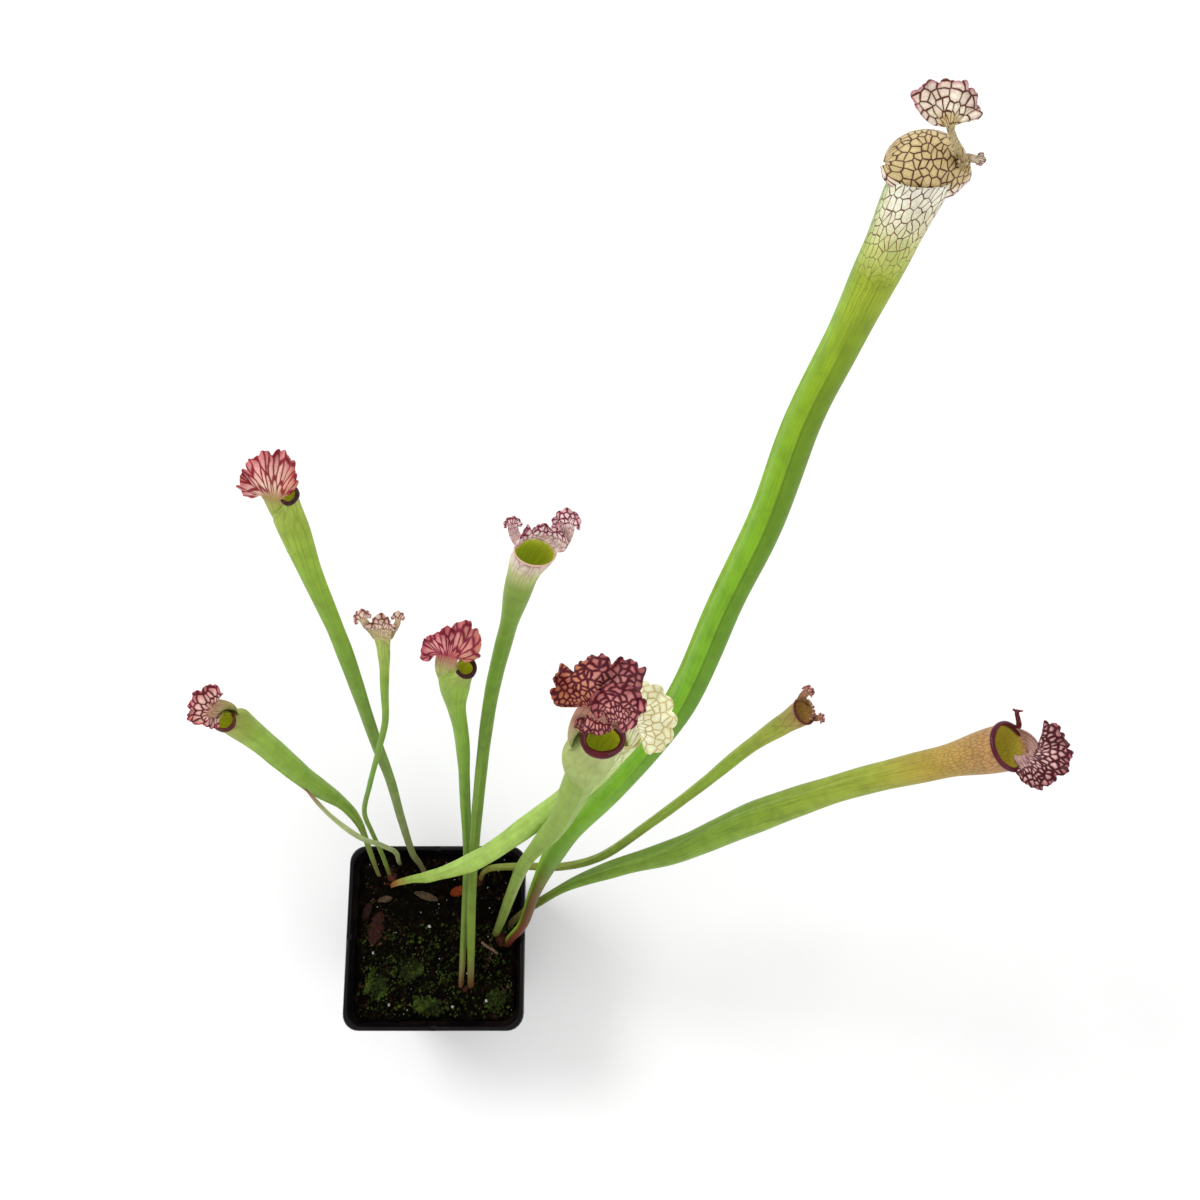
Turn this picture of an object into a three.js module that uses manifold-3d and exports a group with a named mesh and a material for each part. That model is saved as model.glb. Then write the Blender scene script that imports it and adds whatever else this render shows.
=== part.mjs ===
// Trumpet pitcher plant in a square nursery pot. Millimetres, +Z up.
// The origin is the middle of the pot's flat underside, and the pot's sides lie along X and Y.

import * as THREE from 'three';
import { LoftGeometry } from 'three/addons/geometries/LoftGeometry.js';
import { mergeVertices } from 'three/addons/utils/BufferGeometryUtils.js';
import Module from 'manifold-3d';

const wasm = await Module();
wasm.setup();

// Pot
const RIM_WIDTH = 90;
const POT_HEIGHT = 80;
const BASE_WIDTH = 66;
const NECK_WIDTH = 84;
const RIM_DEPTH = 7;
const POT_WALL = 1.2;
const FLOOR = 1.6;
const RIM_CORNER = 8;
const NECK_CORNER = 6;
const BASE_CORNER = 6;
const INNER_CORNER = 5;
const DRAIN_DIAMETER = 7;
const DRAIN_SIDES = 12;
const DRAIN_OFFSET = 23;
const RIM_NOTCH = { width: 3, depth: 1.1 };

// The folded rim slants in under its skirt and round its top edge, and opens a little wider
// than the neck.
const RIM_SKIRT = { inset: 0.6, rise: 0.2 };
const RIM_EDGE = { inset: 0.8, drop: 1 };
const RIM_OPENING = NECK_WIDTH + 1;

// Soil
const SOIL_TOP = 73.5;
const FIT = 0.3;

// The soil's top is a grid of cells that rises and falls by SOIL_BUMP in waves, given in radians
// to the millimetre and the angle at the middle.
const SOIL_CELLS = 7;
const SOIL_BUMP = 0.8;
const SOIL_WAVE = { x: 0.19, atX: 1.1, y: 0.23, atY: -0.6 };

// Leaves
const LEAF_WALL = 0.9;
const HOOD_THICKNESS = 0.7;

// The lip rolls out from the mouth by LIP, and as far up. It starts just over the wall's end. Its
// crest and its inner edge stand at these shares of its reach, its height and the wall.
const LIP = 1.1;
const LIP_START = 0.1;
const LIP_CREST = 0.4;
const LIP_INNER = 0.6;

// A leaf rounds out to the depth of its top this much sooner than it ends. Its ridge fades at both
// ends along a sine raised to RIDGE_FULLNESS, and its rings begin to tip at MOUTH_BEGINS.
const ROUNDS_OUT = 1.3;
const RIDGE_SPAN = 1.06;
const RIDGE_FULLNESS = 0.6;
const MOUTH_BEGINS = 0.82;

// Points around a leaf, in degrees from the ridge on its inner face.
const RING_ANGLES = [0, 22, 58, 94, 125, 152, 180, 208, 235, 266, 302, 338];

// Shares of a leaf's length at which its outside and its inside have a ring. Below BURIED it
// stands in the soil.
const OUTSIDE = [0, 0.03, 0.06, 0.13, 0.21, 0.3, 0.4, 0.5, 0.6, 0.7, 0.79, 0.86, 0.92, 0.96, 1];
const INSIDE = [0.99, 0.95, 0.88, 0.78, 0.66, 0.54, 0.42, 0.3, 0.2];
const BURIED = 0.2;

// The hood rises from the back of the mouth. It starts at the curve of the wall, HOOD_FOOT degrees
// to each side of the back, and opens into a fan. Its columns carry on from the back of the ring,
// as shares of its half width, and the ring points next to them run up its two side edges.
const HOOD_FOOT = 55;
const HOOD_COLUMNS = new Map([[125, -1], [152, -0.51], [180, 0], [208, 0.51], [235, 1]]);
const HOOD_EDGES = new Map([[94, -1.06], [266, 1.06]]);
const HOOD_ROOT = 0.05;
const HOOD_ROWS = [0.14, 0.3, 0.46, 0.62, 0.78, 0.9, 1];
const HOOD_DROOP = 0.16;
const HOOD_STEPS = 8;

// The hood keeps the width of its foot up to HOOD_NECK, is widest at HOOD_WIDEST and rounds off
// over its shoulder to its tip, both as shares of the full width. It opens out from the curve of
// the wall to its own HOOD_OPENING times as fast as it grows, and its wave is in radians.
const HOOD_NECK = 0.28;
const HOOD_WIDEST = 0.68;
const HOOD_SHOULDER = { at: 0.86, width: 0.92 };
const HOOD_TIP = 0.62;
const HOOD_OPENING = 1.5;
const HOOD_WAVE = { across: 5.2, up: 7 };

// A plume is a second lobe that stands on the hood: its half widths, in necks, at shares of its
// length, and how far its foot reaches into the hood.
const PLUME_ROWS = [[0, 1], [0.3, 0.9], [0.5, 2.2], [0.75, 3.3], [0.92, 2.6], [1, 1.2]];
const PLUME_SUNK = 1.5;

// Each leaf: the way its mouth faces, its centre line from the crown up, and its width
// at shares of its length. Depth is front to back as a share of the width, low down and at the top.
const LEAVES = [
  {
    name: 'pitcher_tall',
    color: 0x7db52e,
    facing: 155,
    spine: [[36, -4, 68], [38, -1, 80], [45, 6, 92], [52, 22, 110], [67, 45, 148], [92, 67, 195],
      [115, 92, 240], [130, 123, 285], [140, 144, 314], [148, 169, 345], [157, 187, 372], [168, 211, 412]],
    widths: [[0, 4.6], [0.1, 5.8], [0.22, 11], [0.45, 12.2], [0.7, 11.6], [0.87, 11.6], [0.95, 14.6],
      [1, 17.6]],
    depth: [0.8, 1],
    hollow: 0.2,
    ridge: 1.6,
    mouthTilt: 18,
    hood: { length: 27, width: 11.5, lean: [14, -76], cup: 64, ruffle: 0.4 },
    plume: { length: 20, neck: 2.6, at: 0.42, lean: -16 },
  },
  {
    name: 'pitcher_right',
    color: 0x86a83c,
    facing: 186,
    spine: [[37.5, 4.5, 68], [38.5, 7, 80], [45, 12, 89.5], [53, 17, 95], [68, 25, 107], [92, 33, 126],
      [119, 40, 150], [152, 53, 184], [185, 63, 216], [217, 69, 248], [234, 72, 266]],
    widths: [[0, 3.8], [0.15, 4.5], [0.3, 8.6], [0.45, 12], [0.6, 13.8], [0.75, 11.2], [0.9, 12.4],
      [1, 15.6]],
    depth: [0.7, 1],
    hollow: 0.3,
    ridge: 1.4,
    mouthTilt: 12,
    hood: { length: 27, width: 12.5, lean: [0, 34], cup: 18, ruffle: 1.3 },
  },
  {
    name: 'pitcher_thin',
    color: 0x8aa053,
    facing: 214,
    spine: [[20, 26, 68], [25, 33, 79], [43, 34.5, 89], [64, 34, 100], [83, 38, 116], [106, 52, 142],
      [128, 67, 170], [147, 81, 200], [163, 91, 226]],
    widths: [[0, 3], [0.2, 4], [0.6, 4.6], [0.85, 5.4], [1, 8.4]],
    depth: [0.8, 1],
    hollow: 0.55,
    ridge: 0.5,
    mouthTilt: 24,
    hood: { length: 9, width: 6.4, lean: [5, 30], cup: 50, ruffle: 0.6 },
  },
  {
    name: 'pitcher_back',
    color: 0x88b048,
    facing: 262,
    spine: [[17.5, -27, 68], [18, -22, 76], [19, -11, 87], [21, 18, 111], [23, 35, 126], [28, 61, 161],
      [38, 98, 220], [49, 120, 268], [56, 130, 300], [61, 134, 318]],
    widths: [[0, 3.2], [0.2, 4.3], [0.5, 5.4], [0.8, 6.4], [0.92, 11], [1, 14.4]],
    depth: [0.75, 1],
    hollow: 0.5,
    ridge: 0.6,
    mouthTilt: 30,
    hood: { length: 17, width: 10.8, lean: [4, -14], cup: 34, ruffle: 1.2 },
  },
  {
    name: 'pitcher_front',
    color: 0x9cb25e,
    facing: 276,
    spine: [[29, 0, 68], [31, 3, 78], [36, 12, 98], [40, 19, 119], [49, 33, 160], [57, 40, 188],
      [67, 48, 224], [77, 60, 266], [84, 69, 306]],
    widths: [[0, 3.8], [0.15, 5], [0.4, 6.2], [0.62, 9], [0.85, 10.6], [0.94, 14.4], [1, 15.4]],
    depth: [0.7, 1],
    hollow: 0.4,
    ridge: 1,
    mouthTilt: 32,
    hood: { length: 34, width: 14, lean: [8, 46], cup: 14, ruffle: 1.8 },
  },
  {
    name: 'pitcher_pale',
    color: 0xa0c860,
    facing: 226,
    spine: [[-26.5, 24, 68], [-22, 26, 78], [-12, 28, 90], [0, 29, 109], [28, 36, 150], [53, 49, 186],
      [69, 58, 209], [83, 68, 236], [95, 78, 262]],
    widths: [[0, 2.2], [0.1, 3.6], [0.22, 5.6], [0.42, 8.8], [0.7, 9.8], [0.88, 11], [1, 14]],
    depth: [0.42, 1],
    hollow: 0.4,
    ridge: 0.7,
    mouthTilt: 26,
    hood: { length: 22, width: 9.8, lean: [6, 34], cup: 16, ruffle: 0.5 },
  },
  {
    name: 'pitcher_mid',
    color: 0x7ea84a,
    facing: 312,
    spine: [[12.5, -27, 68], [13, -22, 75], [14, -15, 82], [17, 18, 101], [19, 37, 117], [21, 62, 153],
      [24, 84, 198], [25, 98, 238], [28, 104, 258]],
    widths: [[0, 3.2], [0.25, 4.4], [0.6, 4.8], [0.75, 6], [0.9, 9], [1, 11.6]],
    depth: [0.75, 1],
    hollow: 0.55,
    ridge: 0.6,
    mouthTilt: 26,
    hood: { length: 20, width: 9, lean: [8, 42], cup: 16, ruffle: 1.1 },
  },
  {
    name: 'pitcher_upper_left',
    color: 0x7aa344,
    facing: 328,
    spine: [[-7, 30, 68], [-9, 36, 80], [-11, 40, 90], [-14, 56, 114], [-16, 73, 140], [-19, 88, 166],
      [-25, 122, 222], [-31, 143, 256], [-35, 158, 276], [-36, 163, 285]],
    widths: [[0, 3], [0.2, 4.2], [0.45, 5.2], [0.7, 6.8], [0.9, 9.8], [1, 11.6]],
    depth: [0.8, 1],
    hollow: 0.5,
    ridge: 0.7,
    mouthTilt: 28,
    hood: { length: 21, width: 9.6, lean: [8, 46], cup: 16, ruffle: 1 },
  },
  {
    name: 'pitcher_small',
    color: 0x739d50,
    facing: 92,
    spine: [[-25.5, 29, 68], [-25.5, 33, 78], [-26.5, 42, 97], [-28, 50, 114], [-29, 58, 130], [-23, 69, 152],
      [-15, 83, 176], [-10, 93, 192], [-8, 103, 208], [-6, 115, 224], [-6, 124, 234]],
    widths: [[0, 2.2], [0.5, 2.4], [0.75, 3], [0.9, 4.6], [1, 7]],
    depth: [0.9, 1],
    hollow: 0.7,
    ridge: 0.3,
    mouthTilt: 24,
    hood: { length: 10, width: 7, lean: [8, 30], cup: 48, ruffle: 0.7 },
  },
  {
    name: 'pitcher_left',
    color: 0x8bad45,
    facing: 322,
    spine: [[-30, 27, 68], [-31.5, 33, 77], [-33, 41, 88], [-36, 55, 106], [-41, 63, 120], [-53, 72, 142],
      [-69, 87, 172], [-78, 95, 191]],
    widths: [[0, 2.2], [0.25, 3.2], [0.4, 5.4], [0.6, 9.2], [0.85, 11], [1, 14.4]],
    depth: [0.75, 1],
    hollow: 0.45,
    ridge: 0.9,
    mouthTilt: 26,
    hood: { length: 23, width: 10, lean: [10, 52], cup: 16, ruffle: 1.2 },
  },
];

// A narrow leaf without a pitcher, and the lumps of rhizome that the leaves grow from.
const BLADE = {
  name: 'blade_leaf',
  color: 0x9fae76,
  facing: 300,
  spine: [[-20.5, 35.5, 68], [-20, 37.5, 80], [-19.5, 41, 92], [-24, 44, 112], [-32, 47, 124],
    [-43, 56, 140], [-52, 67, 154]],
  widths: [[0, 1.8], [0.2, 2.4], [0.6, 3], [0.9, 2], [1, 1]],
  depth: [0.8, 0.5],
};

const CROWNS = [
  { name: 'crown_left', at: [-25, 29.5, 70], radii: [10, 6, 4.4], turn: 55 },
  { name: 'crown_right', at: [33.2, 0.5, 70], radii: [8.4, 5.6, 4.6], turn: 90 },
  { name: 'crown_front', at: [15, -26, 70], radii: [6.4, 5, 4.2], turn: 10 },
  { name: 'crown_back', at: [-7.5, 30.5, 70], radii: [4.8, 4.4, 4], turn: 0 },
  { name: 'crown_back_right', at: [20.5, 27, 70], radii: [5.2, 4.6, 4], turn: 40 },
];

// Things that lie on the soil: moss cushions, scraps of old leaf and a twig.
const MOSS = [
  { name: 'moss_front_left', at: [-14, -17, 72.7], radii: [9, 6, 2.3], turn: 20, color: 0x2f4a1c },
  { name: 'moss_front', at: [-3, -33.5, 72.8], radii: [11, 4.6, 2.2], turn: -5, color: 0x2c4219 },
  { name: 'moss_front_right', at: [31, -30, 72.8], radii: [6, 5, 2.2], turn: 30, color: 0x34521d },
  { name: 'moss_side', at: [-30, -24, 72.8], radii: [6, 7.5, 2.2], turn: 0, color: 0x2a3f1a },
];

const SCRAPS = [
  { name: 'old_leaf_base', at: [-31, 4, 73.6], radii: [4, 8.5, 2.4], turn: -12, color: 0x5b2a20 },
  { name: 'bark_chip', at: [-36, 12.5, 73.6], radii: [2.2, 5, 1.8], turn: -20, color: 0x6b4a3c },
  { name: 'dry_leaf_scrap', at: [-6, 20, 74], radii: [6.4, 2, 1.4], turn: -18, color: 0x9c7f66 },
  { name: 'orange_leaf_scrap', at: [10.5, 22.5, 74], radii: [4.6, 2.6, 1.6], turn: 15, color: 0xb0552c },
  { name: 'twig', at: [27, -5.5, 74], radii: [5.6, 1.5, 1.4], turn: -38, color: 0x96796a },
  { name: 'leaf_stub', at: [-27, 18.5, 73.8], radii: [3.8, 1.7, 1.5], turn: 8, color: 0x8a6f45 },
];

// Faces round a lump and from its top to its foot.
const LUMP_SIDES = 10;
const LUMP_ROWS = 6;

const POT_COLOR = 0x17141a;
const SOIL_COLOR = 0x1c1512;
const CROWN_COLOR = 0x4a2116;
const ROUGHNESS = { pot: 0.28, soil: 0.95, pitcher: 0.45, blade: 0.55, crown: 0.8, litter: 0.9 };

// Points of a mesh nearer than this are one point.
const WELD = 1e-4;

const radians = THREE.MathUtils.degToRad;

// Solids: a three.js geometry becomes a manifold, and back. Triangles that are squeezed to
// a line are dropped on the way, and so are two that lie back to back.
function solidOf(geometry) {
  const bare = new THREE.BufferGeometry();
  bare.setAttribute('position', geometry.attributes.position);
  bare.setIndex(geometry.index);
  const merged = mergeVertices(bare, WELD);
  const corners = merged.index.array;
  const kept = new Map();
  for (let i = 0; i < corners.length; i += 3) {
    const triangle = [...corners.slice(i, i + 3)];
    const key = [...triangle].sort((a, b) => a - b).join(' ');
    if (new Set(triangle).size === 3 && !kept.delete(key)) {
      kept.set(key, triangle);
    }
  }
  const mesh = new wasm.Mesh({
    numProp: 3,
    vertProperties: new Float32Array(merged.attributes.position.array),
    triVerts: new Uint32Array([...kept.values()].flat()),
  });
  return new wasm.Manifold(mesh);
}

function geometryOf(solid) {
  const mesh = solid.getMesh();
  const geometry = new THREE.BufferGeometry();
  geometry.setAttribute('position', new THREE.BufferAttribute(mesh.vertProperties, 3));
  geometry.setIndex(new THREE.BufferAttribute(mesh.triVerts, 1));
  geometry.computeVertexNormals();
  return geometry;
}

function piece(name, solid, color, roughness) {
  const material = new THREE.MeshStandardMaterial({ color, roughness, metalness: 0 });
  const mesh = new THREE.Mesh(geometryOf(solid), material);
  mesh.name = name;
  return mesh;
}

// A skin over rings of points, closed at both ends by drawing the end ring to its middle.
function loft(sections) {
  const pole = (section) => {
    const middle = new THREE.Vector3();
    section.forEach((point) => middle.addScaledVector(point, 1 / section.length));
    return section.map(() => middle);
  };
  return new LoftGeometry([pole(sections[0]), ...sections, pole(sections[sections.length - 1])]);
}

// A value between listed shares of a length, eased from one to the next.
function along(list, t) {
  const next = list.findIndex(([share]) => share >= t);
  if (next < 1) {
    return next === 0 ? list[0][1] : list[list.length - 1][1];
  }
  const [t0, a] = list[next - 1];
  const [t1, b] = list[next];
  return THREE.MathUtils.lerp(a, b, THREE.MathUtils.smoothstep((t - t0) / (t1 - t0), 0, 1));
}

// The leaf's place and directions at a share of its length: up along it, front and side.
function station(leaf, t) {
  const points = leaf.spine.map((point) => new THREE.Vector3(...point));
  const curve = new THREE.CatmullRomCurve3(points, false, 'centripetal');
  const at = curve.getPointAt(t);
  const up = curve.getTangentAt(t);
  const facing = radians(leaf.facing);
  const front = new THREE.Vector3(Math.cos(facing), Math.sin(facing), 0);
  front.addScaledVector(up, -front.dot(up)).normalize();
  const side = new THREE.Vector3().crossVectors(front, up);
  return { at, up, front, side };
}

function placed(frame, side, front, up) {
  return frame.at.clone()
    .addScaledVector(frame.side, side)
    .addScaledVector(frame.front, front)
    .addScaledVector(frame.up, up);
}

// One ring of a leaf, grown by some millimetres, with the ridge on its inner face and,
// near the mouth, tipped so that its front is lower than its back.
function leafRing(leaf, t, grow, rise) {
  const frame = station(leaf, t);
  const half = along(leaf.widths, t) / 2;
  const [slim, round] = leaf.depth;
  const depth = half * THREE.MathUtils.lerp(slim, round, Math.min(1, t * ROUNDS_OUT));
  const tilt = Math.tan(radians(leaf.mouthTilt ?? 0)) * THREE.MathUtils.smoothstep(t, MOUTH_BEGINS, 1);
  const swell = Math.sin(Math.PI * Math.min(1, t * RIDGE_SPAN)) ** RIDGE_FULLNESS;
  const ridge = (grow < 0 ? 0 : leaf.ridge ?? 0) * swell;
  return RING_ANGLES.map((degrees) => {
    const angle = radians(degrees);
    const crest = degrees === 0 ? ridge : 0;
    const front = (depth + grow + crest) * Math.cos(angle);
    return placed(frame, -(half + grow) * Math.sin(angle), front, rise - tilt * front);
  });
}

// Where the middle of the hood is at a share of its length, and how far it leans back.
function hoodLine(hood, root, v) {
  const spot = { ...root, lean: radians(hood.lean[0]) };
  for (let i = 1; i <= HOOD_STEPS; i += 1) {
    spot.lean = radians(THREE.MathUtils.lerp(hood.lean[0], hood.lean[1], v * i / HOOD_STEPS));
    spot.front -= Math.sin(spot.lean) * hood.length * v / HOOD_STEPS;
    spot.up += Math.cos(spot.lean) * hood.length * v / HOOD_STEPS;
  }
  return spot;
}

function hoodPoint(leaf, frame, v, u, offset) {
  const hood = leaf.hood;
  const half = along(leaf.widths, 1) / 2;
  const tilt = Math.tan(radians(leaf.mouthTilt));
  const foot = half * Math.sin(radians(HOOD_FOOT));
  const { front, up, lean } = hoodLine(hood, { front: -half, up: tilt * half }, v);
  const spread = along([[0, foot], [HOOD_NECK, foot], [HOOD_WIDEST, hood.width],
    [HOOD_SHOULDER.at, hood.width * HOOD_SHOULDER.width], [1, hood.width * HOOD_TIP]], v);
  const cup = radians(THREE.MathUtils.lerp(HOOD_FOOT, hood.cup, Math.min(1, v * HOOD_OPENING)));
  const reach = spread / Math.sin(cup) - offset;
  const column = THREE.MathUtils.clamp(u, -1, 1);
  const phase = HOOD_WAVE.across * column + HOOD_WAVE.up * v;
  const wave = hood.ruffle * v * v * Math.sin(phase) * Math.abs(column);
  const forward = spread / Math.sin(cup) - reach * Math.cos(u * cup) + wave;
  const droop = hood.length * HOOD_DROOP * v * column * column;
  return placed(
    frame,
    reach * Math.sin(u * cup),
    front + forward * Math.cos(lean) + droop * Math.sin(lean),
    up + forward * (Math.sin(lean) - tilt * (1 - v)) - droop * Math.cos(lean),
  );
}

// A ring whose back has risen up the hood while the rest of it waits on the lip.
function hoodRing(leaf, frame, lip, v, offset) {
  return RING_ANGLES.map((degrees, i) => {
    if (HOOD_COLUMNS.has(degrees)) {
      return hoodPoint(leaf, frame, v, HOOD_COLUMNS.get(degrees), offset);
    }
    if (HOOD_EDGES.has(degrees) && v > HOOD_ROOT) {
      return hoodPoint(leaf, frame, v, HOOD_EDGES.get(degrees), 0);
    }
    return lip[i];
  });
}

// The hollow leaf: up the outside, round the hood and the rolled lip, and down the inside.
function pitcherSolid(leaf) {
  const frame = station(leaf, 1);
  const outside = OUTSIDE.map((t) => leafRing(leaf, t, 0, 0));
  const lipOuter = leafRing(leaf, 1, LIP, LIP_START);
  const lipTop = leafRing(leaf, 1, LIP * LIP_CREST, LIP);
  const lipInner = leafRing(leaf, 1, -LEAF_WALL * LIP_INNER, LIP * LIP_INNER);
  const rows = [HOOD_ROOT, ...HOOD_ROWS];
  const hoodBack = rows.map((v) => hoodRing(leaf, frame, lipTop, v, -HOOD_THICKNESS / 2));
  const hoodEdge = hoodRing(leaf, frame, lipTop, 1, 0);
  const hoodFront = rows.reverse().map((v) => hoodRing(leaf, frame, lipTop, v, HOOD_THICKNESS / 2));
  const inside = INSIDE.filter((t) => t >= leaf.hollow).map((t) => leafRing(leaf, t, -LEAF_WALL, 0));
  return solidOf(loft([...outside, lipOuter, ...hoodBack, hoodEdge, ...hoodFront, lipInner, ...inside]));
}

// The plume stands a quarter turn round from the hood: a narrow neck and a round fan.
function plumeSolid(leaf) {
  const frame = station(leaf, 1);
  const half = along(leaf.widths, 1) / 2;
  const root = { front: -half, up: Math.tan(radians(leaf.mouthTilt)) * half };
  const foot = hoodLine(leaf.hood, root, leaf.plume.at);
  const lean = radians(leaf.plume.lean);
  return solidOf(loft(PLUME_ROWS.map(([share, wide]) => {
    const rise = leaf.plume.length * share - PLUME_SUNK;
    const front = foot.front - rise * Math.sin(lean);
    const up = foot.up + rise * Math.cos(lean);
    const reach = wide * leaf.plume.neck;
    const edge = HOOD_THICKNESS / 2;
    return [[-reach, -edge], [-reach / 3, -edge], [reach / 3, -edge], [reach, -edge],
      [reach, edge], [reach / 3, edge], [-reach / 3, edge], [-reach, edge]]
      .map(([across, through]) => placed(frame, -through, front + across, up));
  })));
}

function pitcher(leaf) {
  const solid = leaf.plume ? pitcherSolid(leaf).add(plumeSolid(leaf)) : pitcherSolid(leaf);
  return piece(leaf.name, solid, leaf.color, ROUGHNESS.pitcher);
}

// The narrow leaf is solid.
function blade(leaf) {
  const rings = OUTSIDE.map((t) => leafRing(leaf, t, 0, 0));
  return piece(leaf.name, solidOf(loft(rings)), leaf.color, ROUGHNESS.blade);
}

// The socket round a leaf's buried end.
function socket(leaf) {
  const buried = OUTSIDE.filter((t) => t < BURIED);
  return solidOf(loft(buried.map((t) => leafRing(leaf, t, FIT, t === 0 ? -FIT : 0))));
}

// A rounded lump, such as a rhizome, a moss cushion or a scrap, grown by some millimetres.
function lump({ at, radii, turn }, grow = 0) {
  const geometry = new THREE.SphereGeometry(1, LUMP_SIDES, LUMP_ROWS);
  geometry.scale(radii[0] + grow, radii[1] + grow, radii[2] + grow);
  geometry.rotateZ(radians(turn));
  geometry.translate(...at);
  return solidOf(geometry);
}

// A square with rounded corners at a height.
function roundedSquare(width, corner, z) {
  const flat = width / 2 - corner;
  const points = [];
  for (let quarter = 0; quarter < 4; quarter += 1) {
    for (const step of [0, 22.5, 45, 67.5, 90]) {
      const angle = radians(quarter * 90 + step);
      const centre = radians(quarter * 90 + 45);
      points.push(new THREE.Vector3(
        Math.sign(Math.cos(centre)) * flat + corner * Math.cos(angle),
        Math.sign(Math.sin(centre)) * flat + corner * Math.sin(angle),
        z,
      ));
    }
  }
  return points;
}

function potWidthAt(z) {
  return THREE.MathUtils.lerp(BASE_WIDTH, NECK_WIDTH, z / (POT_HEIGHT - RIM_DEPTH));
}

function pot() {
  const shoulder = POT_HEIGHT - RIM_DEPTH;
  const inside = 2 * POT_WALL;
  let solid = solidOf(loft([
    roundedSquare(BASE_WIDTH, BASE_CORNER, 0),
    roundedSquare(NECK_WIDTH, NECK_CORNER, shoulder),
    roundedSquare(RIM_WIDTH - RIM_SKIRT.inset, RIM_CORNER, shoulder + RIM_SKIRT.rise),
    roundedSquare(RIM_WIDTH, RIM_CORNER, POT_HEIGHT - RIM_EDGE.drop),
    roundedSquare(RIM_WIDTH - RIM_EDGE.inset, RIM_CORNER, POT_HEIGHT),
    roundedSquare(RIM_OPENING, NECK_CORNER, POT_HEIGHT),
    roundedSquare(NECK_WIDTH - inside, INNER_CORNER, shoulder),
    roundedSquare(potWidthAt(FLOOR) - inside, INNER_CORNER, FLOOR),
  ]));
  for (const [x, y] of [[1, 1], [-1, 1], [-1, -1], [1, -1], [1, 0], [0, 1], [-1, 0], [0, -1]]) {
    const radius = DRAIN_DIAMETER / 2;
    const hole = new THREE.CylinderGeometry(radius, radius, 3 * FLOOR, DRAIN_SIDES);
    hole.rotateX(Math.PI / 2);
    hole.translate(x * DRAIN_OFFSET, y * DRAIN_OFFSET, FLOOR / 2);
    solid = solid.subtract(solidOf(hole));
  }
  for (let side = 0; side < 4; side += 1) {
    const notch = new THREE.BoxGeometry(2 * RIM_NOTCH.depth, RIM_NOTCH.width, 2 * RIM_DEPTH);
    notch.translate(RIM_WIDTH / 2, 0, POT_HEIGHT);
    notch.rotateZ(side * Math.PI / 2);
    solid = solid.subtract(solidOf(notch));
  }
  return piece('pot', solid, POT_COLOR, ROUGHNESS.pot);
}

// The soil fills the pot to a few millimetres under the rim, with a gently uneven top.
function soil(seated, leaves) {
  const gap = 2 * (POT_WALL + FIT);
  const shoulder = POT_HEIGHT - RIM_DEPTH;
  const body = solidOf(loft([FLOOR + FIT, shoulder, POT_HEIGHT].map((z) => {
    return roundedSquare(potWidthAt(Math.min(z, shoulder)) - gap, INNER_CORNER - FIT, z);
  })));
  const cover = new THREE.BoxGeometry(RIM_WIDTH, RIM_WIDTH, SOIL_TOP, SOIL_CELLS, SOIL_CELLS, 1);
  cover.translate(0, 0, SOIL_TOP / 2);
  const position = cover.attributes.position;
  for (let i = 0; i < position.count; i += 1) {
    if (position.getZ(i) > SOIL_TOP / 2) {
      const waveX = Math.sin(SOIL_WAVE.x * position.getX(i) + SOIL_WAVE.atX);
      const waveY = Math.cos(SOIL_WAVE.y * position.getY(i) + SOIL_WAVE.atY);
      position.setZ(i, SOIL_TOP + SOIL_BUMP * waveX * waveY);
    }
  }
  let solid = body.intersect(solidOf(cover));
  for (const thing of seated) {
    solid = solid.subtract(lump(thing, FIT));
  }
  for (const leaf of leaves) {
    solid = solid.subtract(socket(leaf));
  }
  return piece('soil', solid, SOIL_COLOR, ROUGHNESS.soil);
}

function crown(item, leaves) {
  let solid = lump(item);
  for (const leaf of leaves) {
    solid = solid.subtract(socket(leaf));
  }
  return piece(item.name, solid, CROWN_COLOR, ROUGHNESS.crown);
}

const plant = new THREE.Group();
const allLeaves = [...LEAVES, BLADE];
plant.add(pot());
plant.add(soil([...CROWNS, ...MOSS, ...SCRAPS], allLeaves));
CROWNS.forEach((item) => plant.add(crown(item, allLeaves)));
LEAVES.forEach((leaf) => plant.add(pitcher(leaf)));
plant.add(blade(BLADE));
for (const item of [...MOSS, ...SCRAPS]) {
  plant.add(piece(item.name, lump(item), item.color, ROUGHNESS.litter));
}

export default plant;
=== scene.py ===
import math
import random

import bpy
import numpy as np
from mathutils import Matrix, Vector, noise


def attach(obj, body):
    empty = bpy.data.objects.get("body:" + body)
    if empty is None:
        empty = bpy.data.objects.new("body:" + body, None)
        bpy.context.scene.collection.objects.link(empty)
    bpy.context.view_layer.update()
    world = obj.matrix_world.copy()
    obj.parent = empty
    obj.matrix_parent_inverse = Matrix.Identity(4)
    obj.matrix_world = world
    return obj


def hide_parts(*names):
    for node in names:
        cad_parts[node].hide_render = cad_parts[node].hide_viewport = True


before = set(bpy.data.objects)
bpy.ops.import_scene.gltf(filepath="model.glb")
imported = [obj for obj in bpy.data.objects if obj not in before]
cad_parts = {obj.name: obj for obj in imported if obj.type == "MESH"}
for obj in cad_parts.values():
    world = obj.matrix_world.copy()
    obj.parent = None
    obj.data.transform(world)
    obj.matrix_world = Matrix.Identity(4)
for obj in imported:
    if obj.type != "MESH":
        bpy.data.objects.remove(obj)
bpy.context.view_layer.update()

# Camera. It looks almost straight down from 0.7 m and is tilted a little towards the back, so
# the pot is seen from above and the leaves spread out over the picture.
CAMERA_PLACE = (0.083, 0.0144, 0.715)
CAMERA_TILT = 14.2
CAMERA_LENS = 36.45
FILM_WIDTH = 36
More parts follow.
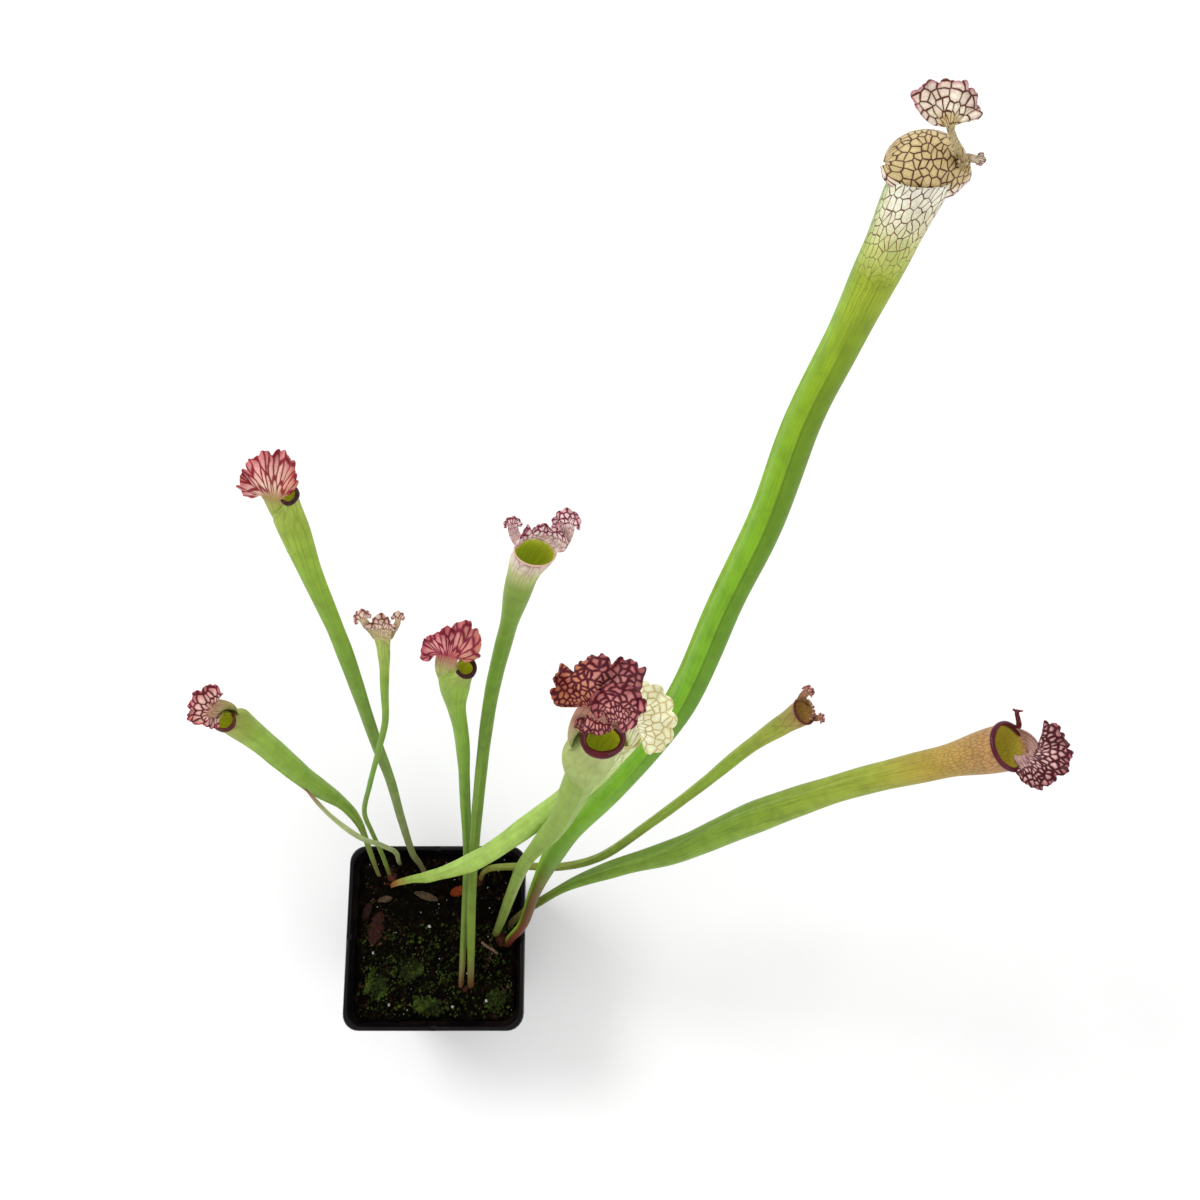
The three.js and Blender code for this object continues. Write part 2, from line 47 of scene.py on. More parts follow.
bpy.ops.object.camera_add(location=CAMERA_PLACE, rotation=(math.radians(CAMERA_TILT), 0, 0))
camera = bpy.context.object
camera.data.sensor_width = FILM_WIDTH
camera.data.lens = CAMERA_LENS
bpy.context.scene.camera = camera

# Light and floor. A white studio sweep: one large soft lamp to the upper left, a weaker one
# to the lower right, and even light from all round, so that the floor comes out nearly white.
EVEN_LIGHT = 0.75
PLANT_MIDDLE = (0.05, 0.05, 0.15)
FLOOR_WIDTH = 6
world = bpy.data.worlds.new("studio")
bpy.context.scene.world = world
world.use_nodes = True
all_round = world.node_tree.nodes["Background"]
all_round.inputs["Color"].default_value = (1, 1, 1, 1)
all_round.inputs["Strength"].default_value = EVEN_LIGHT
bpy.context.scene.view_settings.view_transform = "Standard"


def soft_lamp(name, place, width, watts):
    """A square lamp that faces the middle of the plant."""
    turn = (Vector(PLANT_MIDDLE) - Vector(place)).to_track_quat("-Z", "Y").to_euler()
    bpy.ops.object.light_add(type="AREA", location=place, rotation=turn)
    lamp = bpy.context.object
    lamp.name = name
    lamp.data.shape = "SQUARE"
    lamp.data.size = width
    lamp.data.energy = watts


soft_lamp("key_lamp", (-1.3, 1.0, 2.0), width=0.9, watts=24)
soft_lamp("fill_lamp", (1.5, -1.0, 1.6), width=1.2, watts=8)


def paint(code):
    """A colour written as rrggbb, with the screen's own curve taken off, as the shader wants it."""
    shares = [int(code[i:i + 2], 16) / 255 for i in (0, 2, 4)]
    return tuple(s / 12.92 if s <= 0.04045 else ((s + 0.055) / 1.055) ** 2.4 for s in shares) + (1,)


def new_finish(name):
    """A material with its node tree and its shader."""
    finish = bpy.data.materials.new(name)
    finish.use_nodes = True
    return finish, finish.node_tree, finish.node_tree.nodes["Principled BSDF"]


def feed(tree, node, inputs):
    """Sets each listed input of a node to a value, or joins it to another node."""
    for socket, value in inputs.items():
        if isinstance(value, bpy.types.NodeSocket):
            tree.links.new(value, node.inputs[socket])
        else:
            node.inputs[socket].default_value = value


def wire(tree, kind, inputs=None, **settings):
    """A new shader node with its settings and its inputs."""
    made = tree.nodes.new("ShaderNode" + kind)
    for key, value in settings.items():
        setattr(made, key, value)
    feed(tree, made, inputs or {})
    return made


def place_on(tree):
    """Where a point lies on the piece, in metres."""
    return wire(tree, "TexCoord").outputs["Object"]


def cloud(tree, place, scale, detail, rough=0.5):
    """Soft uneven patches, from 0 to 1."""
    inputs = {"Vector": place, "Scale": scale, "Detail": detail, "Roughness": rough}
    return wire(tree, "TexNoise", inputs).outputs["Fac"]


def between(tree, value, low, high, first=0.0, last=1.0):
    """A number that goes from first to last while the value goes from low to high."""
    return wire(tree, "MapRange", {"Value": value, 1: low, 2: high, 3: first, 4: last}).outputs[0]


def ramp(tree, source, stops):
    """A colour over listed shares and how strongly it shows there: each stop is a share, a colour
    and, if it isn't full, its strength."""
    made = wire(tree, "ValToRGB", {"Fac": source})
    elements = made.color_ramp.elements
    for i, (share, colour, *strength) in enumerate(stops):
        element = elements[i] if i < len(elements) else elements.new(share)
        element.position = share
        element.color = paint(colour)[:3] + (strength[0] if strength else 1,)
    return made.outputs[0], made.outputs[1]


def blend(tree, share, first, second, way="MIX"):
    """Two colours mixed by a share. The node takes its colours on its inputs 6 and 7."""
    inputs = {0: share, 6: first, 7: second}
    return wire(tree, "Mix", inputs, data_type="RGBA", blend_type=way).outputs[2]


def sums(tree, way, first, second=0.0, third=0.0):
    """A sum of numbers in the node tree."""
    return wire(tree, "Math", {0: first, 1: second, 2: third}, operation=way).outputs[0]


def both(tree, first, second):
    """Two shares multiplied, so that it shows only where both do."""
    return sums(tree, "MULTIPLY", first, second)


bpy.ops.mesh.primitive_plane_add(size=FLOOR_WIDTH, location=(0, 0, 0))
floor = bpy.context.object
floor.name = "studio_floor"
finish, tree, shader = new_finish("studio_sweep")
specks = cloud(tree, place_on(tree), 6.0, 3.0)
feed(tree, shader, {
    "Base Color": ramp(tree, specks, [(0.3, "f4f5f4"), (0.7, "fbfbfb")])[0],
    "Roughness": 0.9,
    "Specular IOR Level": 0.1,
    "Emission Color": (1, 1, 1, 1),
    "Emission Strength": 0.07,
})
floor.data.materials.append(finish)

# Pitcher leaves. Each one is a single leaf rolled into a hollow trumpet: a thin stalk, a tube
# with a low ridge along its front, a rolled dark lip round the mouth, and a ruffled hood that
# stands up from the back of the mouth. Sizes are in millimetres, and MM makes them metres.
MM = 0.001
MM_IN_CM = 10
LINE_STEPS = 400
SPAN_STEPS = 20
MERGE_UNDER = 0.00001
# Marks on the sheets' points. Grown is 0 at the root, 1 at the mouth's edge and 2 at the hood's
# free edge. Lip and inner say what is on the lip and on the inner wall, and wing and fore how near
# a point is to the leaf's front. Across and out are its place on the hood, and fold its hollows.
MARKS = ("grown", "lip", "inner", "wing", "fore", "across", "out", "fold")


def along(listed, share):
    """A value between listed shares of a length, eased from one to the next."""
    shares = np.array([s for s, _ in listed], float)
    values = np.array([v for _, v in listed], float)
    share = np.asarray(share, float)
    i = np.clip(np.searchsorted(shares, share) - 1, 0, len(shares) - 2)
    x = np.clip((share - shares[i]) / (shares[i + 1] - shares[i]), 0, 1)
    return values[i] + (values[i + 1] - values[i]) * x * x * (3 - 2 * x)


def step(low, high, value):
    """0 below low, 1 above high, and eased between them."""
    x = np.clip((np.asarray(value, float) - low) / (high - low), 0, 1)
    return x * x * (3 - 2 * x)


def read_off(where, steps, rows):
    """What listed rows of three numbers say between their steps."""
    return np.stack([np.interp(where, steps, rows[:, i]) for i in range(3)], axis=-1)


def centre_line(points):
    """Even steps along a smooth line through the listed points, with the length in millimetres."""
    p = np.array(points, float)
    p = np.vstack([2 * p[0] - p[1], p, 2 * p[-1] - p[-2]])
    traced = []
    for a, b, c, d in zip(p, p[1:], p[2:], p[3:]):
        k = np.cumsum([0] + [math.sqrt(np.linalg.norm(q - r)) for q, r in ((a, b), (b, c), (c, d))])
        for t in np.linspace(k[1], k[2], SPAN_STEPS, endpoint=False):
            ab = ((k[1] - t) * a + (t - k[0]) * b) / (k[1] - k[0])
            bc = ((k[2] - t) * b + (t - k[1]) * c) / (k[2] - k[1])
            cd = ((k[3] - t) * c + (t - k[2]) * d) / (k[3] - k[2])
            low = ((k[2] - t) * ab + (t - k[0]) * bc) / (k[2] - k[0])
            high = ((k[3] - t) * bc + (t - k[1]) * cd) / (k[3] - k[1])
            traced.append(((k[2] - t) * low + (t - k[1]) * high) / (k[2] - k[1]))
    traced = np.array(traced + [p[-2]])
    walked = np.concatenate([[0], np.cumsum(np.linalg.norm(np.diff(traced, axis=0), axis=1))])
    return read_off(np.linspace(0, walked[-1], LINE_STEPS), walked, traced), walked[-1]


def square_to(up, direction):
    """A direction turned square to another one."""
    direction = direction - up * direction.dot(up)
    return direction / np.linalg.norm(direction)


def leaf_frame(leaf, share):
    """The leaf's place and directions at a share of its length: up along it, front and side."""
    line, _ = leaf["line"]
    steps = np.linspace(0, 1, len(line))
    up = read_off(share, steps, np.gradient(line, axis=0))
    up /= np.linalg.norm(up)
    facing = math.radians(leaf["facing"])
    front = square_to(up, np.array([math.cos(facing), math.sin(facing), 0.0]))
    return read_off(share, steps, line), up, front, np.cross(front, up)


def mouth_round(leaf):
    """How far it is round the mouth, in centimetres."""
    return math.pi * along(leaf["widths"], 1) / MM_IN_CM


def pick(pieces):
    """Selects these pieces and nothing else, with the first one active."""
    bpy.ops.object.select_all(action="DESELECT")
    for piece in pieces:
        piece.select_set(True)
    bpy.context.view_layer.objects.active = pieces[0]


def new_sheet(name, points, chart, marks=None):
    """A sheet through rows of points in millimetres, with a chart of centimetres laid over it,
    and marks that say what grows at each point."""
    rows, across = points.shape[:2]
    bpy.ops.object.select_all(action="DESELECT")
    bpy.ops.mesh.primitive_grid_add(x_subdivisions=across - 1, y_subdivisions=rows - 1, size=1)
    sheet = bpy.context.object
    sheet.name = name
    mesh = sheet.data
    mesh.vertices.foreach_set("co", (points * MM).reshape(-1))
    corners = np.zeros(len(mesh.loops), np.int64)
    mesh.loops.foreach_get("vertex_index", corners)
    mesh.uv_layers[0].name = "chart"
    mesh.uv_layers[0].data.foreach_set("uv", chart.reshape(-1, 2)[corners].reshape(-1))
    for mark in MARKS:
        values = np.broadcast_to((marks or {}).get(mark, 0.0), (rows, across)).astype(np.float32)
        mesh.attributes.new(mark, "FLOAT", "POINT").data.foreach_set("value", values.reshape(-1))
    mesh.update()
    return sheet


def thicken(sheet, thick, offset):
    """Gives a sheet its thickness in millimetres, to both sides at 0 and inwards at -1."""
    wall = sheet.modifiers.new("thickness", "SOLIDIFY")
    wall.thickness = thick * MM
    wall.offset = offset
    bpy.ops.object.modifier_apply(modifier=wall.name)


def face_out():
    """Turns every face of the piece in edit mode outwards, and leaves edit mode."""
    bpy.ops.mesh.select_all(action="SELECT")
    bpy.ops.mesh.normals_make_consistent(inside=False)
    bpy.ops.object.mode_set(mode="OBJECT")


def close_seams(piece, angle=180):
    """Merges the seam and the ends, and smooths the faces that meet at less than an angle."""
    pick([piece])
    bpy.ops.object.mode_set(mode="EDIT")
    bpy.ops.mesh.select_all(action="SELECT")
    bpy.ops.mesh.remove_doubles(threshold=MERGE_UNDER)
    face_out()
    if angle < 180:
        bpy.ops.object.shade_smooth_by_angle(angle=math.radians(angle))
    else:
        bpy.ops.object.shade_smooth()


# The trumpet. Its wall bulges a little unevenly, its ridge is sharp and fades to both ends, and
# near the mouth its section tilts and shifts forwards. The lip is rolled outwards from the edge.
WALL = 0.55
AROUND = 60
TUBE_ROWS = 120
INNER_ROWS = 40
INNER_TOP = 0.995
SHIFT_BEGINS = 0.95
TILT_BEGINS = 0.82
RIDGE_WIDTH = math.radians(9)
RIDGE_RUN = 1.06
RIDGE_FADE = 0.6
RIDGE_CROWDING = 0.55
WING_WIDTH = math.radians(34)
SLOW_BULGE, FAST_BULGE = 0.012, 0.01
SLOW_BULGES, FAST_BULGES = 31, 67
LIP_TURNS = (-50, -15, 20, 55, 90, 125, 160, 200)
LIP_ROLL = 0.75
LIP_OUT, LIP_UP = 0.15, 0.75
LIP_ENDS, LIP_FADES = 48, 16
LIP_WAVE, LIP_RIPPLE = 0.07, 0.04
LIP_WAVES, LIP_RIPPLES = 3, 7
LIP_LEFT = 0.4
LIP_ON_CHART = 0.1


def near_front(angle, width):
    """1 on the line down the leaf's front, and less to both sides of it."""
    return np.exp(-(np.minimum(angle, 2 * math.pi - angle) / width) ** 2)


def on_wall(leaf, share, angle, grow=0.0, rise=0.0, inside=False):
    """Points round the trumpet at a share of its length, so far outside its wall or above its edge."""
    at, up, front, side = leaf_frame(leaf, share)
    half = along(leaf["widths"], share) / 2
    deep = half * along(leaf["depth"], share)
    aside, ahead = np.array(leaf.get("shift", (0, 0))) * step(SHIFT_BEGINS, 1, share)
    tilt = math.tan(math.radians(leaf["tilt"])) * step(TILT_BEGINS, 1, share)
    ridge = leaf["ridge"] * abs(math.sin(math.pi * min(1, share * RIDGE_RUN))) ** RIDGE_FADE
    if inside:
        ridge = 0
    crest = near_front(angle, RIDGE_WIDTH)
    slow = SLOW_BULGE * math.sin(SLOW_BULGES * share + leaf["facing"])
    swell = 1 + slow + FAST_BULGE * math.sin(FAST_BULGES * share)
    x = -(half * swell + grow) * np.sin(angle)
    y = (deep * swell + grow + ridge * crest) * np.cos(angle)
    z = rise - tilt * y
    return at + np.outer(x + aside, side) + np.outer(y + ahead, front) + np.outer(z, up)


def leaf_tube(name, leaf):
    """The stalk, the hollow trumpet and its rolled lip, as one closed sheet."""
    _, length = leaf["line"]
    roll = leaf.get("roll", LIP_ROLL)
    rows = [(t, 0.0, 0.0, 0.0, 0.0) for t in np.linspace(0, 1, TUBE_ROWS)]
    if "hollow" in leaf:
        for turn in LIP_TURNS:
            a = math.radians(turn)
            rows.append((1.0, roll * (LIP_OUT + math.cos(a)), roll * (LIP_UP + math.sin(a)), 1.0, 0.0))
        rows += [(t, -WALL, 0.0, 0.0, 1.0) for t in np.linspace(INNER_TOP, leaf["hollow"], INNER_ROWS)]
    rows = [rows[0]] + rows + [rows[-1]]
    s = np.linspace(0, 1, AROUND + 1)
    angle = 2 * math.pi * s - RIDGE_CROWDING * np.sin(2 * math.pi * s)
    back = np.degrees(np.abs(angle - math.pi))
    ends = leaf.get("rim_ends", LIP_ENDS)
    rim = step(ends, ends + LIP_FADES, back)
    uneven = 1 + LIP_WAVE * np.sin(LIP_WAVES * angle + leaf["facing"])
    uneven = uneven + LIP_RIPPLE * np.sin(LIP_RIPPLES * angle)
    size = (len(rows), AROUND + 1)
    points, chart = np.zeros(size + (3,)), np.zeros(size + (2,))
    marks = {mark: np.zeros(size) for mark in ("grown", "lip", "inner", "wing", "fore")}
    for j, (t, grow, rise, on_lip, within) in enumerate(rows):
        if on_lip:
            grow = rim * grow * uneven + (1 - rim) * np.clip(grow, -WALL, 0)
            rise = rise * (LIP_LEFT + (1 - LIP_LEFT) * rim) * uneven
        points[j] = on_wall(leaf, t, angle, grow, rise + 0 * angle, within > 0)
        if j in (0, len(rows) - 1):
            points[j] = leaf_frame(leaf, t)[0]
        chart[j, :, 0] = angle / (2 * math.pi) * mouth_round(leaf)
        chart[j, :, 1] = -(1 - t) * length / MM_IN_CM + LIP_ON_CHART * (on_lip > 0)
        marks["grown"][j] = t
        marks["lip"][j] = on_lip * rim
        marks["inner"][j] = within
        marks["fore"][j] = 0.5 + 0.5 * np.cos(angle)
        marks["wing"][j] = near_front(angle, WING_WIDTH)
    tube = new_sheet(name, points, chart, marks)
    close_seams(tube)
    return tube


# The hoods and lobes. Each is a thin ruffled sheet: most grow as a curled column out of the
# mouth's edge that opens into a fan, and the tall leaf's arches over its mouth as a helmet.
HOOD_SHEET = 0.4
HOOD_CREASE = 60
NECK_ROWS = 18
FAN_COLUMNS, FAN_ROWS = 72, 28
ENDS_DRAWN_IN, ENDS_SHARP = 0.45, 12
SCALLOP_ROUND, SCALLOP_MIDDLE = 0.7, 1.5
FLAT_UNDER = 0.001
RUFFLES_START, RUFFLES_WAIT = 0.7, 6
NECK_NARROWS = 0.4
COLUMN_BENDS = 1.2
ROOT_SUNK = 0.1
ROOT_CLIMBS = 0.6
HELMET_COLUMNS, HELMET_ROWS = 84, 48
HELMET_REACH = 84
HELMET_FLARES_FROM, HELMET_RUFFLES_FROM, HELMET_HEM_FROM = 0.8, 0.6, 0.9
HELMET_GROWN, HELMET_GROWS, HEM_GROWS = 1.2, 0.2, 0.6


def hood_of(name, points, chart, marks):
    """A thin piece of hood with both its faces."""
    sheet = new_sheet(name, points, chart, marks)
    thicken(sheet, HOOD_SHEET, 0)
    close_seams(sheet, HOOD_CREASE)
    return sheet


def fan(name, hood, leaf):
    """A hood or a small lobe. A curled column follows the listed middle line up from the rim and
    opens into a ruffled fan. The two faces say which way its inner side looks at foot and fan,
    and the root says where it grows out of the trumpet's wall: a share and two angles."""
    columns, fan_rows = hood.get("columns", FAN_COLUMNS), hood.get("rows", FAN_ROWS)
    line, length = centre_line(hood["line"])
    runs = np.gradient(line, axis=0)
    runs /= np.linalg.norm(runs, axis=1)[:, None]
    steps = np.linspace(0, length, len(line))
    foot_face, fan_face = (np.array(face, float) for face in hood["faces"])
    foot, neck, column = hood["foot"], hood["neck"], hood["column"]
    u = np.linspace(-1, 1, columns + 1)
    spread = u * math.radians(hood["sweep"]) + math.radians(hood.get("turn", 0))
    radius = along(hood["outline"], u) * (1 - ENDS_DRAWN_IN * np.abs(u) ** ENDS_SHARP)
    for count, amount, start in hood.get("scallops", ()):
        scallop = np.abs(np.cos(count * u * math.pi / 2 + start)) ** SCALLOP_ROUND
        radius = radius * (1 + amount * (2 * scallop - SCALLOP_MIDDLE))
    begun, bent, ends = hood.get("grown", (hood.get("root", (1,))[0], COLUMN_BENDS, 2))
    rows = []
    for s in np.linspace(0, 1, NECK_ROWS, endpoint=False):
        wide = foot + (neck - foot) * step(0, 1, s)
        rows.append((u * wide, s * column + 0 * u, 0, begun + (bent - begun) * s ** (2 if begun < 1 else 1)))
    for r in np.linspace(0, 1, fan_rows + 1):
        rows.append((neck * u * (1 - NECK_NARROWS * r) + r * radius * np.sin(spread),
                     column + r * radius * np.cos(spread), r, bent + (ends - bent) * r))
    size = (len(rows), columns + 1)
    points, chart = np.zeros(size + (3,)), np.zeros(size + (2,))
    marks = {mark: np.zeros(size) for mark in ("grown", "out", "fold")}
    marks["across"] = hood.get("beside", 0) + u * hood.get("share", 1) + np.zeros(size)
    mouth = mouth_round(leaf)
    for j, (x, y, r, grown) in enumerate(rows):
        up = read_off(y, steps, runs)
        at = read_off(y, steps, line) + up * (np.maximum(y - length, 0) + np.minimum(y, 0))[:, None]
        turned = step(0, column, y)[:, None]
        face = foot_face * (1 - turned) + fan_face * turned
        face = face - up * np.sum(face * up, axis=1)[:, None]
        face /= np.linalg.norm(face, axis=1)[:, None]
        bend = along(hood["curl"], y)
        bend = np.where(np.abs(bend) < FLAT_UNDER, FLAT_UNDER, bend)
        wave, most = 0 * u, 0.01
        for count, amount, start in hood.get("ruffles", ()):
            grows = r ** (RUFFLES_START + count / RUFFLES_WAIT)
            wave = wave + amount * np.sin(count * u * math.pi + start + r) * grows
            most += amount
        bow = (1 - np.cos(x * bend)) / bend + wave
        points[j] = at + np.cross(face, up) * (np.sin(x * bend) / bend)[:, None] + face * bow[:, None]
        chart[j, :, 0] = mouth / 2 + x / MM_IN_CM
        chart[j, :, 1] = y / MM_IN_CM
        if j < NECK_ROWS and "root" in hood:
            share, first, last = hood["root"]
            angle = np.radians(first + (last - first) * (u + 1) / 2)
            wall = on_wall(leaf, share, angle, -WALL / 2 if share == 1 else -ROOT_SUNK, 0 * u)
            wall = wall + leaf_frame(leaf, share)[1] * y[:, None] * ROOT_CLIMBS
            free = step(0, 1, j / NECK_ROWS)
            points[j] += (wall - points[j]) * (1 - free)
            chart[j, :, 0] += (angle / (2 * math.pi) * mouth - chart[j, :, 0]) * (1 - free)
        marks["grown"][j] = grown
        marks["out"][j] = (y if j < NECK_ROWS else column + r * radius) / MM_IN_CM
        marks["fold"][j] = np.clip(-wave / most, 0, 1)
    return hood_of(name, points, chart, marks)


def helmet(name, cap, leaf):
    """A hood that arches over the mouth, from its grown-on back edge to its free front edge."""
    middle, up, back = (np.array(cap[key], float) for key in ("middle", "up", "back"))
    up /= np.linalg.norm(up)
    back = square_to(up, back)
    side = np.cross(back, up)
    turn = np.radians(np.linspace(-HELMET_REACH, HELMET_REACH, HELMET_COLUMNS + 1))
    size = (HELMET_ROWS + 1, HELMET_COLUMNS + 1)
    points, chart = np.zeros(size + (3,)), np.zeros(size + (2,))
    marks = {"grown": np.zeros(size), "out": np.zeros(size), "across": np.sin(turn) + np.zeros(size)}
    wide, deep, high = cap["size"]
    for j, r in enumerate(np.linspace(0, 1, HELMET_ROWS + 1)):
        lift = math.radians(cap["arch"][0] + (cap["arch"][1] - cap["arch"][0]) * r)
        edge = 1 + cap["flare"] * step(HELMET_FLARES_FROM, 1, r)
        for count, amount, start in cap["ruffles"]:
            edge = edge + amount * step(HELMET_RUFFLES_FROM, 1, r) * np.sin(count * turn + start)
        out = side * (wide * np.sin(turn))[:, None]
        out = out + np.cos(turn)[:, None] * (back * deep * math.cos(lift) + up * high * math.sin(lift))
        points[j] = middle + out * (edge * np.ones(HELMET_COLUMNS + 1))[:, None]
        chart[j, :, 0] = wide * turn / MM_IN_CM
        chart[j, :, 1] = deep * lift / MM_IN_CM
        marks["grown"][j] = HELMET_GROWN + HELMET_GROWS * r + HEM_GROWS * step(HELMET_HEM_FROM, 1, r)
        marks["out"][j] = deep * lift / MM_IN_CM
    return hood_of(name, points, chart, marks)


# The skin of the leaves: thin live flesh that lets a little light through, dull but for its lip. Its inner
# wall also glows with a painted light.
NET_WANDER = 0.12
LINE_SWELLS, LINE_THINS = 2.6, -0.4
BLUSH_REACH = 0.4
THREAD_LONG, STRIPE_LONG = 0.18, 0.25
MOTTLE_SCALE, GRAIN_SCALE = 150.0, 900.0
LEAF_ROUGH, LIP_ROUGH = 0.48, 0.22
THROAT_PAINTED_LIGHT = 0.3


def emboss(tree, shader, height, strength, deep):
    """Raises a fine grain on the surface, so many metres deep."""
    raised = wire(tree, "Bump", {"Height": height, "Strength": strength, "Distance": deep})
    feed(tree, shader, {"Normal": raised.outputs[0]})


def leaf_skin(name, look):
    """The leaf's skin: flesh that changes colour from the stalk to the edge of the hood, a net of
    veins that is drawn out along the tube and closes into cells at the top, a dark shiny lip and
    a yellow-green inner wall."""
    finish, tree, shader = new_finish(name)

    def mark(which):
        """One of the marks that the sheets carry."""
        return wire(tree, "Attribute", attribute_name=which).outputs["Fac"]

    def moved(way, first, second):
        """A sum of two places, or a place scaled by a number."""
        inputs = {0: first, "Scale" if way == "SCALE" else 1: second}
        return wire(tree, "VectorMath", inputs, operation=way).outputs[0]

    def net(place, cells, width, reach):
        """Lines between cells, with so many cells across and along, and the blush beside the lines."""
        at = moved("MULTIPLY", place, (cells[0], cells[1], 0))
        cell = wire(tree, "TexVoronoi", {"Vector": at, "Scale": 1.0, "Randomness": 0.95},
                    voronoi_dimensions="2D", feature="DISTANCE_TO_EDGE")
        edge = sums(tree, "MULTIPLY_ADD", uneven, LINE_SWELLS * width, LINE_THINS * width)
        away = sums(tree, "SUBTRACT", cell.outputs["Distance"], edge)
        return [between(tree, away, 0.0, far, 1.0, 0.0) for far in (reach, BLUSH_REACH)]

    grown, lip, inner, across = (mark(which) for which in ("grown", "lip", "inner", "across"))
    half_grown = sums(tree, "MULTIPLY", grown, 0.5)
    flesh, _ = ramp(tree, half_grown, [(share / 2, colour) for share, colour in look["flesh"]])
    if "sides" in look:
        side, strength = ramp(tree, sums(tree, "MULTIPLY_ADD", across, 0.5, 0.5), look["sides"])
        flesh = blend(tree, both(tree, strength, between(tree, grown, 1.05, 1.35)), flesh, side)
    # Painted shade: the back half of the tube is darkened, with a darker line along its edge, as if it turned
    # away from the light. It shows from about a third of the way up to just under the mouth.
    if "painted_shade_band" in look:
        painted_shade_band, _ = ramp(tree, mark("fore"), [(0.0, "b4bc98"), (0.38, "c0c8a0"), (0.45, "8c9c60"),
                                            (0.49, "ffffff"), (0.8, "f4fff0")])
        on_tube = both(tree, between(tree, grown, 0.95, 0.8), between(tree, grown, 0.33, 0.45))
        flesh = blend(tree, both(tree, on_tube, look["painted_shade_band"]), flesh, painted_shade_band, "MULTIPLY")
    if "wing" in look:
        flesh = blend(tree, mark("wing"), flesh, paint(look["wing"]))
    place = place_on(tree)
    mottle = cloud(tree, place, MOTTLE_SCALE, 4.0, 0.6)
    flesh = blend(tree, 0.5, flesh, ramp(tree, mottle, [(0.3, "c4c4b4"), (0.6, "ffffff")])[0], "MULTIPLY")

    # The nets are drawn on two charts. One runs round and up the tube, the other across the hood
    # and out to its edge, and both wander a little.
    chart = wire(tree, "UVMap", uv_map="chart").outputs[0]
    wander = wire(tree, "TexNoise", {"Vector": chart, "Scale": 2.2, "Detail": 2.0}).outputs["Color"]
    shift = moved("SCALE", moved("SUBTRACT", wander, (0.5, 0.5, 0.5)), NET_WANDER)
    tube_chart = moved("ADD", chart, shift)
    spread = wire(tree, "CombineXYZ", {0: across, 1: mark("out")}).outputs[0]
    hood_chart = moved("ADD", spread, moved("MULTIPLY", shift, (0.5, 1.0, 0)))
    uneven = cloud(tree, chart, 4.0, 1.0)

    hood_net, hood_blush = net(hood_chart, *look["hood_net"])
    tube_net, _ = net(tube_chart, *look["tube_net"])
    threads, _ = net(tube_chart, (look["tube_net"][0][0] * 1.3, THREAD_LONG), 0.03, 0.12)
    lines, _ = net(hood_chart, (look["hood_net"][0][0] * 1.1, STRIPE_LONG), 0.06, 0.12)
    fine, _ = net(tube_chart, (8.5, 8.0), 0.01, 0.1)
    on_hood = between(tree, grown, look.get("cells_from", 1.1), 1.28)
    by_mouth = between(tree, grown, look["net_from"], look["net_from"] + 0.06)
    off_tube = between(tree, grown, 0.99, 1.14)
    low_net = blend(tree, off_tube, blend(tree, by_mouth, threads, tube_net), lines)
    vein, strength = ramp(tree, half_grown, [(share / 2, *rest) for share, *rest in look["veins"]])
    veins = both(tree, blend(tree, on_hood, low_net, hood_net), strength)
    fine = both(tree, both(tree, fine, strength), look.get("fine", 0.25))
    shown = sums(tree, "MAXIMUM", veins, fine)
    blush = both(tree, both(tree, hood_blush, on_hood), look.get("blush_share", 0.5))
    colour = blend(tree, blush, flesh, paint(look.get("blush", "c0506a")))
    colour = blend(tree, shown, colour, vein)
    # Painted shade: the hollows between the hood's ruffles are darkened towards the deep colour, as strongly
    # as the shade share says.
    colour = blend(tree, both(tree, mark("fold"), look.get("shade", 0.55)), colour,
                   paint(look.get("deep", "4a0a18")))

    # The inner wall: its colour darkens deeper down the tube, and it also glows in that colour, a painted
    # light.
    throat, _ = ramp(tree, grown, look.get("throat", [(0.3, "3d4a12"), (0.9, "8f9a1c"), (1.0, "a9ac24")]))
    throat = blend(tree, both(tree, low_net, 0.25), throat, paint("5a4a12"))
    colour = blend(tree, inner, colour, throat)
    dark_lip = blend(tree, mottle, paint(look["lip"][0]), paint(look["lip"][1]))
    colour = blend(tree, between(tree, lip, 0.15, 0.5), colour, dark_lip)
    grain = cloud(tree, place, GRAIN_SCALE, 3.0)
    height = sums(tree, "MULTIPLY_ADD", grain, 0.35, both(tree, shown, -0.6))
    emboss(tree, shader, height, 0.35, 0.0004)
    feed(tree, shader, {
        "Base Color": colour,
        "Roughness": between(tree, lip, 0.0, 1.0, LEAF_ROUGH, LIP_ROUGH),
        # Painted light: the inner wall glows in its own colour.
        "Emission Color": throat,
        "Emission Strength": both(tree, inner, THROAT_PAINTED_LIGHT),
        "Subsurface Weight": 0.08,
        "Subsurface Scale": 0.0015,
        "Specular IOR Level": 0.26,
    })
    return finish


def grow_leaf(name, leaf, lobes, look):
    """Rolls the tube, raises the hood and the lobes, joins them and gives them one skin."""
    leaf["line"] = centre_line(leaf["spine"])
    leaf_piece = leaf_tube(name + "_leaf", leaf)
    sheets = [(helmet if "arch" in lobe else fan)(name + "_lobe", lobe, leaf) for lobe in lobes]
    pick([leaf_piece] + sheets)
    if sheets:
        bpy.ops.object.join()
    leaf_piece.data.materials.append(leaf_skin(name + "_skin", look))
    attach(leaf_piece, "root")
    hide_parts(name)


# The ten leaves. A leaf's table gives the way its front faces, how far its ridge stands out, its
# depth against its width, how far down it is hollow, the tilt, roll and shift of its mouth, how
# far from the back its lip begins, its middle line, and its widths along that line.
# A lobe's table gives its column's middle line, the way it faces at foot and fan, its half widths
# at foot and neck, its column's length, and its fan's sweep, outline, curl, ruffles and scallops.
# A look lists colours by how far grown the leaf is. A net is its cells across and along, how thick
# its lines are, and how softly they end.

